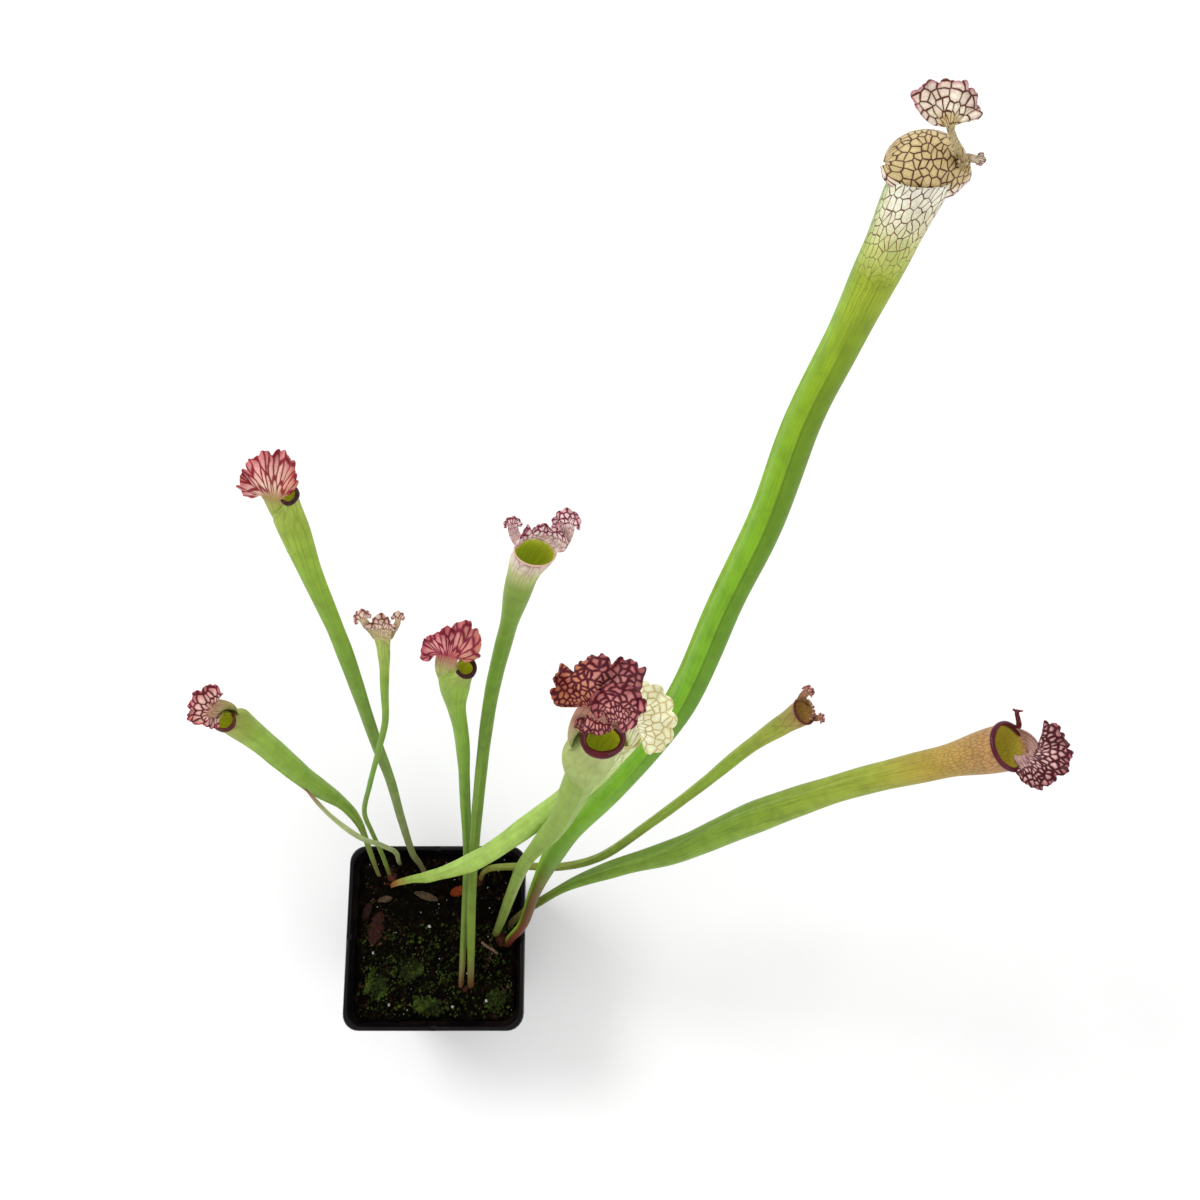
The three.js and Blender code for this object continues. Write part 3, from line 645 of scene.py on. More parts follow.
# The front leaf: a stout trumpet whose green shoulder rises on the left of its thick dark lip,
# and opens into a broad hood, orange on the left and crimson with pink cells on the right.
front_leaf = {
    "facing": 272, "ridge": 1.0, "depth": [(0, 0.75), (0.9, 1), (0.95, 0.8), (1, 0.66)], "hollow": 0.4,
    "tilt": 32, "roll": 1.1, "shift": (-3.0, 0), "rim_ends": 30,
    "spine": [(29, 0, 68), (31, 3, 78), (36, 12, 98), (40, 19, 119), (49, 33, 160), (57, 40, 188),
              (67, 48, 224), (75.5, 60, 266), (81, 69, 306)],
    "widths": [(0, 3.8), (0.15, 5), (0.4, 6.2), (0.62, 9), (0.85, 12), (0.94, 19), (1, 13.2)],
}
front_lobes = [
    {"line": [(78.8, 68.2, 292), (77.6, 70.8, 304), (79.7, 74.2, 313), (82.3, 77.3, 317), (83, 83.8, 320),
              (83, 95.1, 322)],
     "faces": [(0.8, -0.4, 0.3), (0.05, -0.2, 0.97)], "root": (0.965, 150, 272),
     "foot": 8, "neck": 6.5, "column": 28.15, "sweep": 104, "columns": 110, "rows": 36,
     "outline": [(-1, 9), (-0.78, 11.4), (-0.56, 13.4), (-0.5, 16.6), (-0.4, 19.8), (-0.23, 19.2),
                 (-0.11, 17.4), (0.06, 19), (0.27, 16.4), (0.35, 19.4), (0.48, 18), (0.62, 15.6), (0.8, 12),
                 (1, 9)],
     "curl": [(0, 0.14), (16, -0.05), (26, 0.03), (45, 0.03)],
     "ruffles": [(2.5, 3, 0.4), (6, 1.9, 1), (11, 0.8, 0.3)],
     "scallops": [(9, 0.04, 0.3), (15, 0.05, 1), (23, 0.03, 0)]},
    {"line": [(87.8, 70, 300), (89.3, 71.8, 311), (89.2, 74.2, 318), (88.9, 77, 321), (89.5, 83.1, 324)],
     "faces": [(-0.6, -0.5, 0.4), (0, -0.2, 0.97)], "root": (1, 115, 150),
     "grown": (1.5, 1.5, 2), "beside": -0.6, "share": 0.42, "foot": 4, "neck": 4.4, "column": 22.99,
     "sweep": 112,
     "outline": [(-1, 6), (-0.5, 8.4), (0, 9.6), (0.5, 8.4), (1, 6)],
     "curl": [(0, 0.2), (11, 0.05), (30, 0.03)],
     "ruffles": [(2.5, 1.5, 0.4), (6, 1, 1)], "scallops": [(7, 0.06, 0.3), (12, 0.05, 1)]},
    {"line": [(83, 75, 308), (82.7, 74.4, 314), (82.3, 72.7, 316.5), (82.3, 70.8, 316)],
     "faces": [(0, -1, 0.3), (0, 0.1, 1)],
     "grown": (1.5, 1.6, 1.9), "beside": -0.3, "share": 0.35, "foot": 5, "neck": 4.4, "column": 9.18,
     "sweep": 75, "columns": 48, "rows": 14,
     "outline": [(-1, 3), (0, 3.4), (1, 3)],
     "curl": [(0, 0.12), (10, 0.08)],
     "ruffles": [(3, 0.9, 0.4)], "scallops": [(6, 0.1, 0.3)]},
    {"line": [(78.2, 71.8, 304), (77, 72.2, 311), (76.4, 73.1, 314), (76.4, 74.3, 315)],
     "faces": [(1, 0, 0.2), (0.3, -0.3, 0.9)],
     "grown": (1.5, 1.6, 2), "share": 0.2, "foot": 1.8, "neck": 1.4, "column": 10.41, "sweep": 100,
     "columns": 24, "rows": 10,
     "outline": [(-1, 1.8), (0, 2.8), (1, 1.8)],
     "curl": [(0, 0.5), (6, 0.3)],
     "ruffles": [(3, 0.4, 0.4)]},
]
front_look = {
    "flesh": [(0, "5a2a1c"), (0.06, "7d8f42"), (0.3, "839c41"), (0.6, "8dad43"), (0.88, "96b346"),
              (0.96, "b0c070"), (1.04, "c4c08c"), (1.12, "d4ac98"), (1.35, "e0a090"), (1.7, "eaa49c"),
              (2.0, "a03844")],
    "sides": [(0.0, "ecA0a4", 0.5), (0.45, "f0b4a8", 0.1), (0.62, "dc9a56", 0.7), (1.0, "b06c30", 0.85)],
    "veins": [(0, "5a3a20", 0.3), (0.5, "7c9438", 0.3), (0.95, "88944a", 0.3), (1.05, "84804a", 0.35),
              (1.15, "7a5040", 0.5), (1.25, "6b1c30", 1.0), (1.5, "560c1e", 1.0), (2.0, "500c1c", 1.0)],
    "net_from": 0.93, "tube_net": ((2.6, 1.2), 0.03, 0.1), "hood_net": ((11, 4.6), 0.13, 0.16),
    "lip": ("2a040a", "6b1422"), "blush": "b04050", "cells_from": 1.14,
}
grow_leaf("pitcher_front", front_leaf, front_lobes, front_look)

# The tall leaf: the longest one, bright green, with white windows and a brown net of veins
# below the mouth. Its hood is a tan helmet over the mouth. A thin lobe stands on a narrow neck
# above it, and a small curled tip sticks out on the right.
tall_leaf = {
    "facing": 155, "ridge": 1.6, "depth": [(0, 0.8), (0.8, 1)], "hollow": 0.2, "tilt": 18, "roll": 0.3,
    "rim_ends": 180,
    "spine": [(36, -4, 68), (38, -1, 80), (45, 6, 92), (52, 22, 110), (67, 45, 148), (92, 67, 195),
              (115, 92, 240), (130, 123, 285), (141, 144, 314), (150, 169, 345), (160, 187, 372),
              (173.2, 212.6, 414)],
    "widths": [(0, 4.6), (0.1, 5.8), (0.22, 11), (0.45, 12.2), (0.7, 11.6), (0.87, 11.6), (0.95, 14.6),
               (1, 17.6)],
}
tall_lobes = [
    {"middle": (174.4, 216.6, 414), "up": (0.05, 0.35, 0.9), "back": (0, 0.9, -0.35), "size": (11.6, 10, 9),
     "arch": (-20, 202), "flare": 0.12, "ruffles": [(5, 0.02, 0.4), (11, 0.015, 1.0)]},
    {"line": [(182.5, 213.6, 420), (178.3, 210.7, 430), (175.5, 210.2, 436), (173.9, 210.6, 440),
              (173.2, 216.2, 443)],
     "faces": [(-0.6, -0.3, 0.8), (0, -0.2, 0.97)],
     "grown": (1.2, 1.25, 2), "turn": -17, "foot": 2, "neck": 1.2, "column": 22.42, "sweep": 93,
     "columns": 84, "rows": 30,
     "outline": [(-1, 6.5), (-0.75, 7), (-0.5, 8.4), (-0.22, 10.4), (-0.08, 10.8), (0.18, 11.2), (0.45, 12.6),
                 (0.68, 12.8), (0.85, 10.4), (1, 7)],
     "curl": [(0, 0.3), (18, 0.04), (32, -0.01)],
     "ruffles": [(2.5, 1.1, 0.4), (7, 0.7, 1)], "scallops": [(9, 0.04, 0.3), (14, 0.03, 1)]},
    {"line": [(183.3, 212.4, 418), (182.6, 211.8, 424), (184.9, 210.4, 426), (188.1, 210.2, 425)],
     "faces": [(-0.3, -0.6, 0.7), (0, -0.4, 0.9)],
     "grown": (1.3, 1.5, 2), "foot": 2.4, "neck": 1, "column": 9.52, "sweep": 80, "columns": 24, "rows": 10,
     "outline": [(-1, 1.4), (0, 2.4), (1, 1.4)],
     "curl": [(0, 0.3), (12, 0.4)],
     "ruffles": [(3, 0.5, 0.4)]},
]
tall_look = {
    "flesh": [(0, "54181a"), (0.06, "6b2a1c"), (0.12, "6e4c26"), (0.2, "6a9226"), (0.3, "80b424"),
              (0.55, "84bc28"), (0.72, "86b41e"), (0.85, "90b01c"), (0.93, "a8bc30"), (0.955, "d8dc88"),
              (0.975, "f6f0d0"), (1.0, "fffaea"), (1.2, "e2d29c"), (1.4, "dcc690"), (1.52, "fdf4dc"),
              (1.92, "fbeadc"), (2.0, "c06a84")],
    "veins": [(0, "5a1a14", 0.4), (0.2, "5f8f25", 0.35), (0.88, "6c8c20", 0.45), (0.93, "76742c", 0.8),
              (0.965, "6a4430", 1.0), (1.0, "5c3826", 1.0), (1.2, "4a2a1c", 1.0), (2.0, "542018", 1.0)],
    "net_from": 0.9, "tube_net": ((5.0, 3.0), 0.03, 0.07), "hood_net": ((5.8, 3.8), 0.05, 0.09),
    # Painted shade: the band darkens the back of the tube, and deep and shade darken the hollows of the hood.
    "lip": ("d8c8b4", "f0e4d4"), "fine": 0.25, "wing": "90bc38", "cells_from": 1.0, "painted_shade_band": 0.8,
    "blush": "b08050", "blush_share": 0.35, "deep": "5a3020", "shade": 0.35,
}
grow_leaf("pitcher_tall", tall_leaf, tall_lobes, tall_look)

# The right leaf: a long trumpet that lies low, tan and freckled near its mouth, with a folded
# crimson hood beyond it and one small forked horn on its dark lip.
right_leaf = {
    "facing": 186, "ridge": 1.4, "depth": [(0, 0.7), (0.77, 1)], "hollow": 0.3, "tilt": 12, "roll": 0.9,
    "rim_ends": 24,
    "spine": [(37.5, 4.5, 68), (38.5, 7, 80), (45, 12, 89.5), (53, 17, 95), (68, 25, 107), (92, 33, 126),
              (119, 40, 150), (152, 53, 184), (185, 63, 216), (217, 69, 248), (234, 72, 266)],
    "widths": [(0, 3.8), (0.15, 4.5), (0.3, 8.6), (0.45, 12), (0.6, 13.8), (0.75, 11.2), (0.9, 12.4),
               (1, 17.6)],
}
right_lobes = [
    {"line": [(241, 71.8, 261.5), (241.3, 69.9, 264.5), (241.2, 68.1, 267.5), (245.3, 65.9, 270),
              (254.3, 61.7, 272)],
     "faces": [(-0.8, 0, 0.4), (-0.05, -0.1, 0.98)], "root": (1, 110, 234),
     "foot": 9, "neck": 5.4, "column": 7.13, "sweep": 92, "columns": 100, "rows": 34,
     "outline": [(-1, 6), (-0.85, 7.6), (-0.6, 10.4), (-0.44, 11.4), (-0.2, 12), (0.06, 14), (0.31, 14.6),
                 (0.6, 13.4), (0.8, 12.8), (1, 14)],
     "curl": [(0, 0.1), (7, 0.03), (20, -0.02)],
     "ruffles": [(2.5, 1.8, 0.4), (6, 1.3, 1), (11, 0.5, 0)],
     "scallops": [(8, 0.04, 0.3), (13, 0.04, 1), (21, 0.03, 0)]},
    {"line": [(237.9, 78.9, 262.5), (236.9, 80.7, 267), (236.3, 82.3, 271), (235.9, 83.9, 273),
              (236.1, 85.2, 274)],
     "faces": [(-0.2, -1, 0.2), (0, -0.3, 0.95)], "root": (1, 226, 242),
     "grown": (2, 2, 2), "share": 0.2, "foot": 1.6, "neck": 0.8, "column": 12.01, "sweep": 70, "columns": 20,
     "rows": 10,
     "outline": [(-1, 2.2), (-0.3, 0.9), (0.3, 0.9), (1, 2.2)],
     "curl": [(0, 0.4), (10, 0.3)]},
]
right_look = {
    "flesh": [(0, "4a1a18"), (0.07, "66602c"), (0.2, "7c9f33"), (0.55, "8eb038"), (0.8, "a4b43c"),
              (0.9, "bca244"), (1.0, "c49460"), (1.05, "c49c8c"), (1.14, "e8c0b8"), (1.4, "f4d0c8"),
              (1.8, "f2c8c4"), (2.0, "a84c5c")],
    "veins": [(0, "4a2a18", 0.3), (0.25, "587424", 0.5), (0.6, "5e7826", 0.5), (0.85, "7a6428", 0.45),
              (1.0, "7a4a38", 0.6), (1.2, "541c28", 0.9), (1.5, "480b16", 1.0), (2.0, "480a14", 1.0)],
    "net_from": 0.86, "tube_net": ((6.5, 3.4), 0.03, 0.16), "hood_net": ((10, 4.2), 0.16, 0.16),
    "blush": "8a2040", "lip": ("2c060e", "6a1230"),
    "throat": [(0.5, "5a5014"), (0.9, "a8a424"), (1.0, "9c8c30")],
}
grow_leaf("pitcher_right", right_leaf, right_lobes, right_look)

# The thin leaf: a slim tube with a tan top and two small frilled horns instead of a hood.
thin_leaf = {
    "facing": 190, "ridge": 0.5, "depth": [(0, 0.8), (0.85, 1), (1, 0.62)], "hollow": 0.55, "tilt": 20,
    "roll": 0.5, "rim_ends": 20,
    "spine": [(20, 26, 68), (25, 33, 79), (43, 34.5, 89), (64, 34, 100), (83, 38, 116), (106, 52, 142),
              (128, 67, 170), (147, 81, 199), (165.5, 91.5, 226)],
    "widths": [(0, 3), (0.2, 4), (0.6, 4.6), (0.85, 6), (0.95, 9), (1, 11.4)],
}
thin_lobes = [
    {"line": [(165.2, 95.9, 223), (164.9, 97.1, 230), (166.1, 98.3, 233), (167.2, 98.9, 234)],
     "faces": [(-0.2, -1, 0.2), (0, -0.3, 0.95)],
     "foot": 2.2, "neck": 1.6, "column": 10.66, "sweep": 100, "columns": 30, "rows": 14,
     "outline": [(-1, 2), (0, 3.2), (1, 2.2)],
     "curl": [(0, 0.4), (8, 0.2)],
     "ruffles": [(3, 0.5, 0.4)], "scallops": [(6, 0.1, 0.3)]},
    {"line": [(169.6, 90.2, 222), (170.2, 88.5, 228), (171.2, 88.1, 231), (172.3, 87.9, 232)],
     "faces": [(-0.8, 0.5, 0.2), (0, -0.3, 0.95)],
     "foot": 2, "neck": 1.2, "column": 9.55, "sweep": 100, "columns": 30, "rows": 14,
     "outline": [(-1, 1.6), (0, 2.4), (1, 1.6)],
     "curl": [(0, 0.4), (8, 0.2)],
     "ruffles": [(3, 0.4, 0.4)], "scallops": [(6, 0.1, 0.3)]},
    {"line": [(169.1, 92.1, 221), (168.8, 91.5, 227), (168.6, 91.3, 231), (168.6, 91.4, 233)],
     "faces": [(-1, 0, 0.2), (-0.5, 0, 0.9)], "root": (1, 120, 240),
     "foot": 4.6, "neck": 4.2, "column": 10.15, "sweep": 40, "columns": 36, "rows": 10,
     "outline": [(-1, 1.4), (0, 1.8), (1, 1.4)],
     "curl": [(0, 0.18), (8, 0.2)],
     "ruffles": [(4, 0.5, 0.4)], "scallops": [(5, 0.15, 0.3)]},
]
thin_look = {
    "flesh": [(0, "5a3a20"), (0.08, "869038"), (0.4, "94ac44"), (0.8, "a0bc40"), (0.95, "b0b84c"),
              (1.0, "b49458"), (1.3, "d8ac8c"), (2.0, "e4bca8")],
    "veins": [(0, "5a3a20", 0.3), (0.8, "7a8a40", 0.3), (0.97, "8a6040", 0.5), (1.2, "6a2a2c", 0.9),
              (2.0, "6a2028", 1.0)],
    "net_from": 0.9, "tube_net": ((3.4, 1.4), 0.03, 0.1), "hood_net": ((3.6, 5.5), 0.08, 0.14),
    "lip": ("3a1216", "7a3a34"), "throat": [(0.6, "5a4a14"), (0.92, "a08438"), (1.0, "94703c")],
}
grow_leaf("pitcher_thin", thin_leaf, thin_lobes, thin_look)

# The back leaf: its wide yellow-green mouth looks towards the viewer, under a low frilled band
# of cells that rises in a pale horn on the left and a crimson lobe on the right.
back_leaf = {
    "facing": 266, "ridge": 0.6, "depth": [(0, 0.75), (0.7, 1), (0.93, 1), (1, 0.62)], "hollow": 0.5,
    "tilt": 24, "roll": 0.25, "shift": (0, 2.4), "rim_ends": 20,
    "spine": [(17.5, -27, 68), (18, -22, 76), (19, -11, 87), (21, 18, 111), (23, 35, 126), (28, 61, 161),
              (38, 98, 220), (49, 120, 268), (56, 130, 300), (61, 134, 318)],
    "widths": [(0, 3.2), (0.2, 4.3), (0.5, 5.4), (0.8, 6.6), (0.92, 11), (1, 14.4)],
}
back_lobes = [
    {"line": [(62.2, 135.6, 312), (62.9, 136, 318), (63.4, 136.9, 322), (63.5, 138.4, 324)],
     "faces": [(0, -0.9, 0.3), (0.1, -0.5, 0.85)], "root": (1, 96, 262),
     "foot": 10, "neck": 10, "column": 10.29, "sweep": 24,
     "outline": [(-1, 2.6), (-0.6, 4.6), (-0.25, 3), (0, 5), (0.3, 2.6), (0.7, 4), (1, 3)],
     "curl": [(0, 0.13), (6, 0.11), (12, 0.09)],
     "ruffles": [(4.5, 1.2, 0.2), (8, 0.6, 1.2)], "scallops": [(9, 0.16, 0.4)]},
    {"line": [(54.5, 133.7, 310), (53.9, 135.2, 317), (53.5, 137.9, 321), (53.6, 139.4, 323),
              (53.6, 142.6, 324)],
     "faces": [(0.8, -0.6, 0.2), (0.1, -0.2, 0.97)], "root": (1, 225, 268),
     "foot": 2.8, "neck": 1.8, "column": 14.67, "sweep": 105, "columns": 36, "rows": 16,
     "outline": [(-1, 2.2), (0, 3.2), (1, 2.4)],
     "curl": [(0, 0.25), (9, 0.1)],
     "ruffles": [(2.5, 0.8, 0.2), (6, 0.4, 1.2)], "scallops": [(6, 0.1, 0.4)]},
    {"line": [(70.1, 134.4, 309), (71.4, 135.2, 317), (71.8, 137.6, 322), (71.9, 139.4, 324),
              (71.6, 144.8, 326)],
     "faces": [(-0.8, -0.6, 0.2), (-0.1, -0.2, 0.97)], "root": (1, 90, 140),
     "foot": 3.4, "neck": 2.6, "column": 16.56, "sweep": 118, "columns": 48, "rows": 20,
     "outline": [(-1, 3.4), (-0.4, 4.6), (0, 5.6), (0.4, 4.8), (1, 3.6)],
     "curl": [(0, 0.2), (10, 0.08)],
     "ruffles": [(2.5, 1.1, 0.2), (7, 0.5, 1.2)], "scallops": [(7, 0.09, 0.4)]},
]
back_look = {
    "flesh": [(0, "4a2418"), (0.03, "6a4428"), (0.06, "74743a"), (0.1, "708828"), (0.4, "709326"),
              (0.75, "779e28"), (0.925, "82a432"), (0.96, "ccd08c"), (0.985, "eedccc"), (1.0, "f0d8cc"),
              (1.3, "fff4f0"), (1.7, "fce4e0"), (2.0, "e0a8b0")],
    "veins": [(0, "6a4a28", 0.3), (0.85, "6f9438", 0.35), (0.95, "a08a60", 0.5), (1.0, "9a5050", 0.7),
              (1.3, "7a1838", 1.0), (2.0, "6e0e30", 1.0)],
    "net_from": 0.95, "tube_net": ((3.4, 1.0), 0.03, 0.12), "hood_net": ((5.4, 5.2), 0.09, 0.14),
    "blush": "b83060", "blush_share": 0.3, "cells_from": 1.0, "lip": ("d8a898", "ecc8b8"),
    "throat": [(0.5, "485c12"), (0.9, "8ca01a"), (1.0, "a8b030")],
}
grow_leaf("pitcher_back", back_leaf, back_lobes, back_look)

# The pale leaf: a flat strap below that turns its hood of large white windows to the right.
pale_leaf = {
    "facing": 190, "ridge": 0.7, "depth": [(0, 0.42), (0.77, 1)], "hollow": 0.4, "tilt": 26, "roll": 0.6,
    "spine": [(-26.5, 24, 68), (-22, 26, 78), (-12, 28, 90), (0, 29, 109), (28, 36, 150), (53, 49, 186),
              (69, 58, 209), (83, 68, 236), (93, 78, 260)],
    "widths": [(0, 2.2), (0.1, 3.6), (0.22, 5.6), (0.42, 8.8), (0.7, 9.8), (0.88, 11), (1, 12.6)],
}
pale_lobes = [
    {"line": [(91.5, 72.3, 248), (92.4, 74.2, 260), (93.7, 76.7, 269), (95.8, 79.1, 273), (101.2, 79.9, 275),
              (110.6, 81.2, 276)],
     "faces": [(-0.6, -0.4, 0.5), (0.05, -0.15, 0.98)], "root": (0.93, 60, 215),
     "foot": 6.4, "neck": 4.6, "column": 27, "sweep": 80,
     "outline": [(-1, 8), (-0.75, 11.4), (-0.4, 14), (0, 15.4), (0.4, 15.8), (0.75, 15), (1, 12)],
     "curl": [(0, -0.12), (14, 0.02), (28, 0.02)],
     "ruffles": [(2.5, 0.8, 0.4), (6, 0.5, 1)], "scallops": [(7, 0.06, 0.3)]},
]
pale_look = {
    "flesh": [(0, "8a4a26"), (0.05, "a0703a"), (0.12, "9cbc50"), (0.4, "a8cc58"), (0.75, "aed05c"),
              (0.88, "c6dc78"), (0.95, "e6ecac"), (1.0, "f2f4c4"), (1.3, "fcfce8"), (2.0, "fafad4")],
    "veins": [(0, "8a4a26", 0.3), (0.7, "90b450", 0.35), (0.93, "9aa860", 0.6), (1.1, "a89a5c", 0.9),
              (1.6, "b09a58", 1.0), (2.0, "c8b880", 0.8)],
    "net_from": 0.88, "tube_net": ((2.8, 0.7), 0.04, 0.08), "hood_net": ((6.2, 3.2), 0.045, 0.06),
    # Deep and shade set the painted shade in the hollows of the hood.
    "blush": "d8cc90", "deep": "a8a060", "shade": 0.3, "lip": ("b8a868", "d8cc98"), "fine": 0.15,
}
grow_leaf("pitcher_pale", pale_leaf, pale_lobes, pale_look)

# The middle leaf: slim, with a fan-shaped hood striped pink and crimson on the left of a small
# dark mouth.
mid_leaf = {
    "facing": 350, "ridge": 0.6, "depth": [(0, 0.75), (0.85, 1), (0.95, 1.6), (1, 0.9)], "hollow": 0.55,
    "tilt": 16, "roll": 0.9, "shift": (0, 3.6), "rim_ends": 30,
    "spine": [(12.5, -27, 68), (13, -22, 75), (14, -15, 82), (17, 18, 101), (19, 37, 117), (21, 62, 153),
              (24, 84, 198), (25, 98, 238), (28, 104, 258)],
    "widths": [(0, 3.2), (0.25, 4.4), (0.6, 4.8), (0.75, 6), (0.9, 8), (1, 7.8)],
}
mid_lobes = [
    {"line": [(21.5, 98.5, 236), (22.4, 101, 247), (23.6, 103.4, 257), (25.1, 106.3, 264), (26.9, 112, 268),
              (27.7, 119.2, 270)],
     "faces": [(0.2, -0.5, 0.7), (0.1, -0.15, 0.98)], "root": (0.91, 275, 165),
     "turn": 20, "foot": 5, "neck": 4.2, "column": 29.69, "sweep": 102, "columns": 96, "rows": 34,
     "outline": [(-1, 8), (-0.86, 11.4), (-0.62, 13.4), (-0.39, 15.6), (-0.15, 12.8), (0, 11.2), (0.36, 10.4),
                 (0.7, 8), (1, 8.4)],
     "curl": [(0, -0.16), (18, -0.08), (26, 0.02), (40, 0.02)],
     "ruffles": [(2.5, 1.6, 0.4), (6, 1.2, 1), (12, 0.5, 0)],
     "scallops": [(7, 0.05, 0.3), (12, 0.04, 1), (19, 0.03, 0)]},
]
mid_look = {
    "flesh": [(0, "4a2418"), (0.035, "6a4428"), (0.08, "74743a"), (0.14, "6c8430"), (0.3, "729539"),
              (0.6, "7da836"), (0.85, "90b83c"), (0.94, "97bc40"), (1.05, "b4bc64"), (1.15, "c4a078"),
              (1.24, "b84858"), (1.4, "e89c9c"), (1.7, "f0b0ac"), (2.0, "c45868")],
    "sides": [(0.0, "d0a070", 0.8), (0.3, "e0a080", 0.4), (0.5, "f0acaa", 0.0), (1.0, "e08090", 0.2)],
    "veins": [(0, "6a4a30", 0.3), (0.8, "7a9040", 0.35), (0.95, "7c8040", 0.4), (1.1, "7a6038", 0.55),
              (1.22, "861430", 0.9), (1.4, "801230", 1.0), (2.0, "7e1430", 1.0)],
    "net_from": 0.93, "tube_net": ((3.6, 0.6), 0.05, 0.1), "hood_net": ((9, 1.5), 0.07, 0.14),
    "blush": "b83a50", "lip": ("160308", "4a0c18"),
}
grow_leaf("pitcher_mid", mid_leaf, mid_lobes, mid_look)

# The upper left leaf: a grey-green stalk, a bright tube and a fan hood with long crimson stripes
# on the left of its narrow dark mouth.
upper_leaf = {
    "facing": 352, "ridge": 0.7, "depth": [(0, 0.8), (0.85, 1.05), (0.95, 1.5), (1, 0.56)], "hollow": 0.5,
    "tilt": 16, "roll": 0.8, "shift": (0, 3.6), "rim_ends": 30,
    "spine": [(-7, 30, 68), (-9, 36, 80), (-11, 40, 90), (-14, 56, 114), (-16, 73, 140), (-19, 88, 166),
              (-25, 122, 222), (-31, 143, 256), (-35, 158, 276), (-36, 163, 285)],
    "widths": [(0, 3), (0.2, 4.2), (0.45, 5.2), (0.7, 6.8), (0.9, 8.8), (1, 8.6)],
}
upper_lobes = [
    {"line": [(-41.8, 161.7, 262), (-39.8, 161, 274), (-38.4, 160.8, 284), (-37.6, 161.5, 290),
              (-37.2, 166.3, 294), (-37.2, 176.9, 297)],
     "faces": [(0.2, -0.5, 0.7), (0.1, -0.15, 0.98)], "root": (0.9, 275, 165),
     "turn": 12, "foot": 5, "neck": 4.2, "column": 28.66, "sweep": 80, "columns": 96, "rows": 34,
     "outline": [(-1, 7), (-0.82, 9.8), (-0.62, 12), (-0.4, 16), (-0.28, 17.6), (-0.12, 16.6), (0.15, 15.8),
                 (0.38, 13.8), (0.69, 11.2), (0.82, 9.6), (1, 8)],
     "curl": [(0, -0.16), (20, -0.08), (30, 0.02), (46, 0.02)],
     "ruffles": [(2.5, 1.6, 0.4), (6, 1.1, 1), (12, 0.5, 0)],
     "scallops": [(8, 0.04, 0.3), (13, 0.04, 1), (20, 0.03, 0)]},
]
upper_look = {
    "flesh": [(0, "6a4a3a"), (0.06, "7a7a50"), (0.2, "8a9a60"), (0.4, "7c9a48"), (0.65, "7da535"),
              (0.85, "96bb3b"), (0.94, "a1bb43"), (1.06, "b0be4c"), (1.16, "b4a850"), (1.26, "dcbc94"),
              (1.4, "f6e0c8"), (1.7, "f8c8c0"), (2.0, "d87880")],
    "sides": [(0.0, "dc8060", 0.7), (0.22, "e09060", 0.5), (0.4, "f6d0c0", 0.0), (1.0, "f0a8a8", 0.2)],
    "veins": [(0, "6a4a30", 0.3), (0.8, "7c9038", 0.4), (0.96, "76802c", 0.45), (1.1, "7a6c2c", 0.55),
              (1.2, "84502c", 0.8), (1.35, "8c2c2c", 1.0), (2.0, "8a1428", 1.0)],
    "net_from": 0.92, "tube_net": ((3.4, 0.6), 0.05, 0.1), "hood_net": ((9, 1.2), 0.07, 0.12),
    "blush": "d0605c", "blush_share": 0.35, "lip": ("1a0406", "4a0c14"),
}
grow_leaf("pitcher_upper_left", upper_leaf, upper_lobes, upper_look)

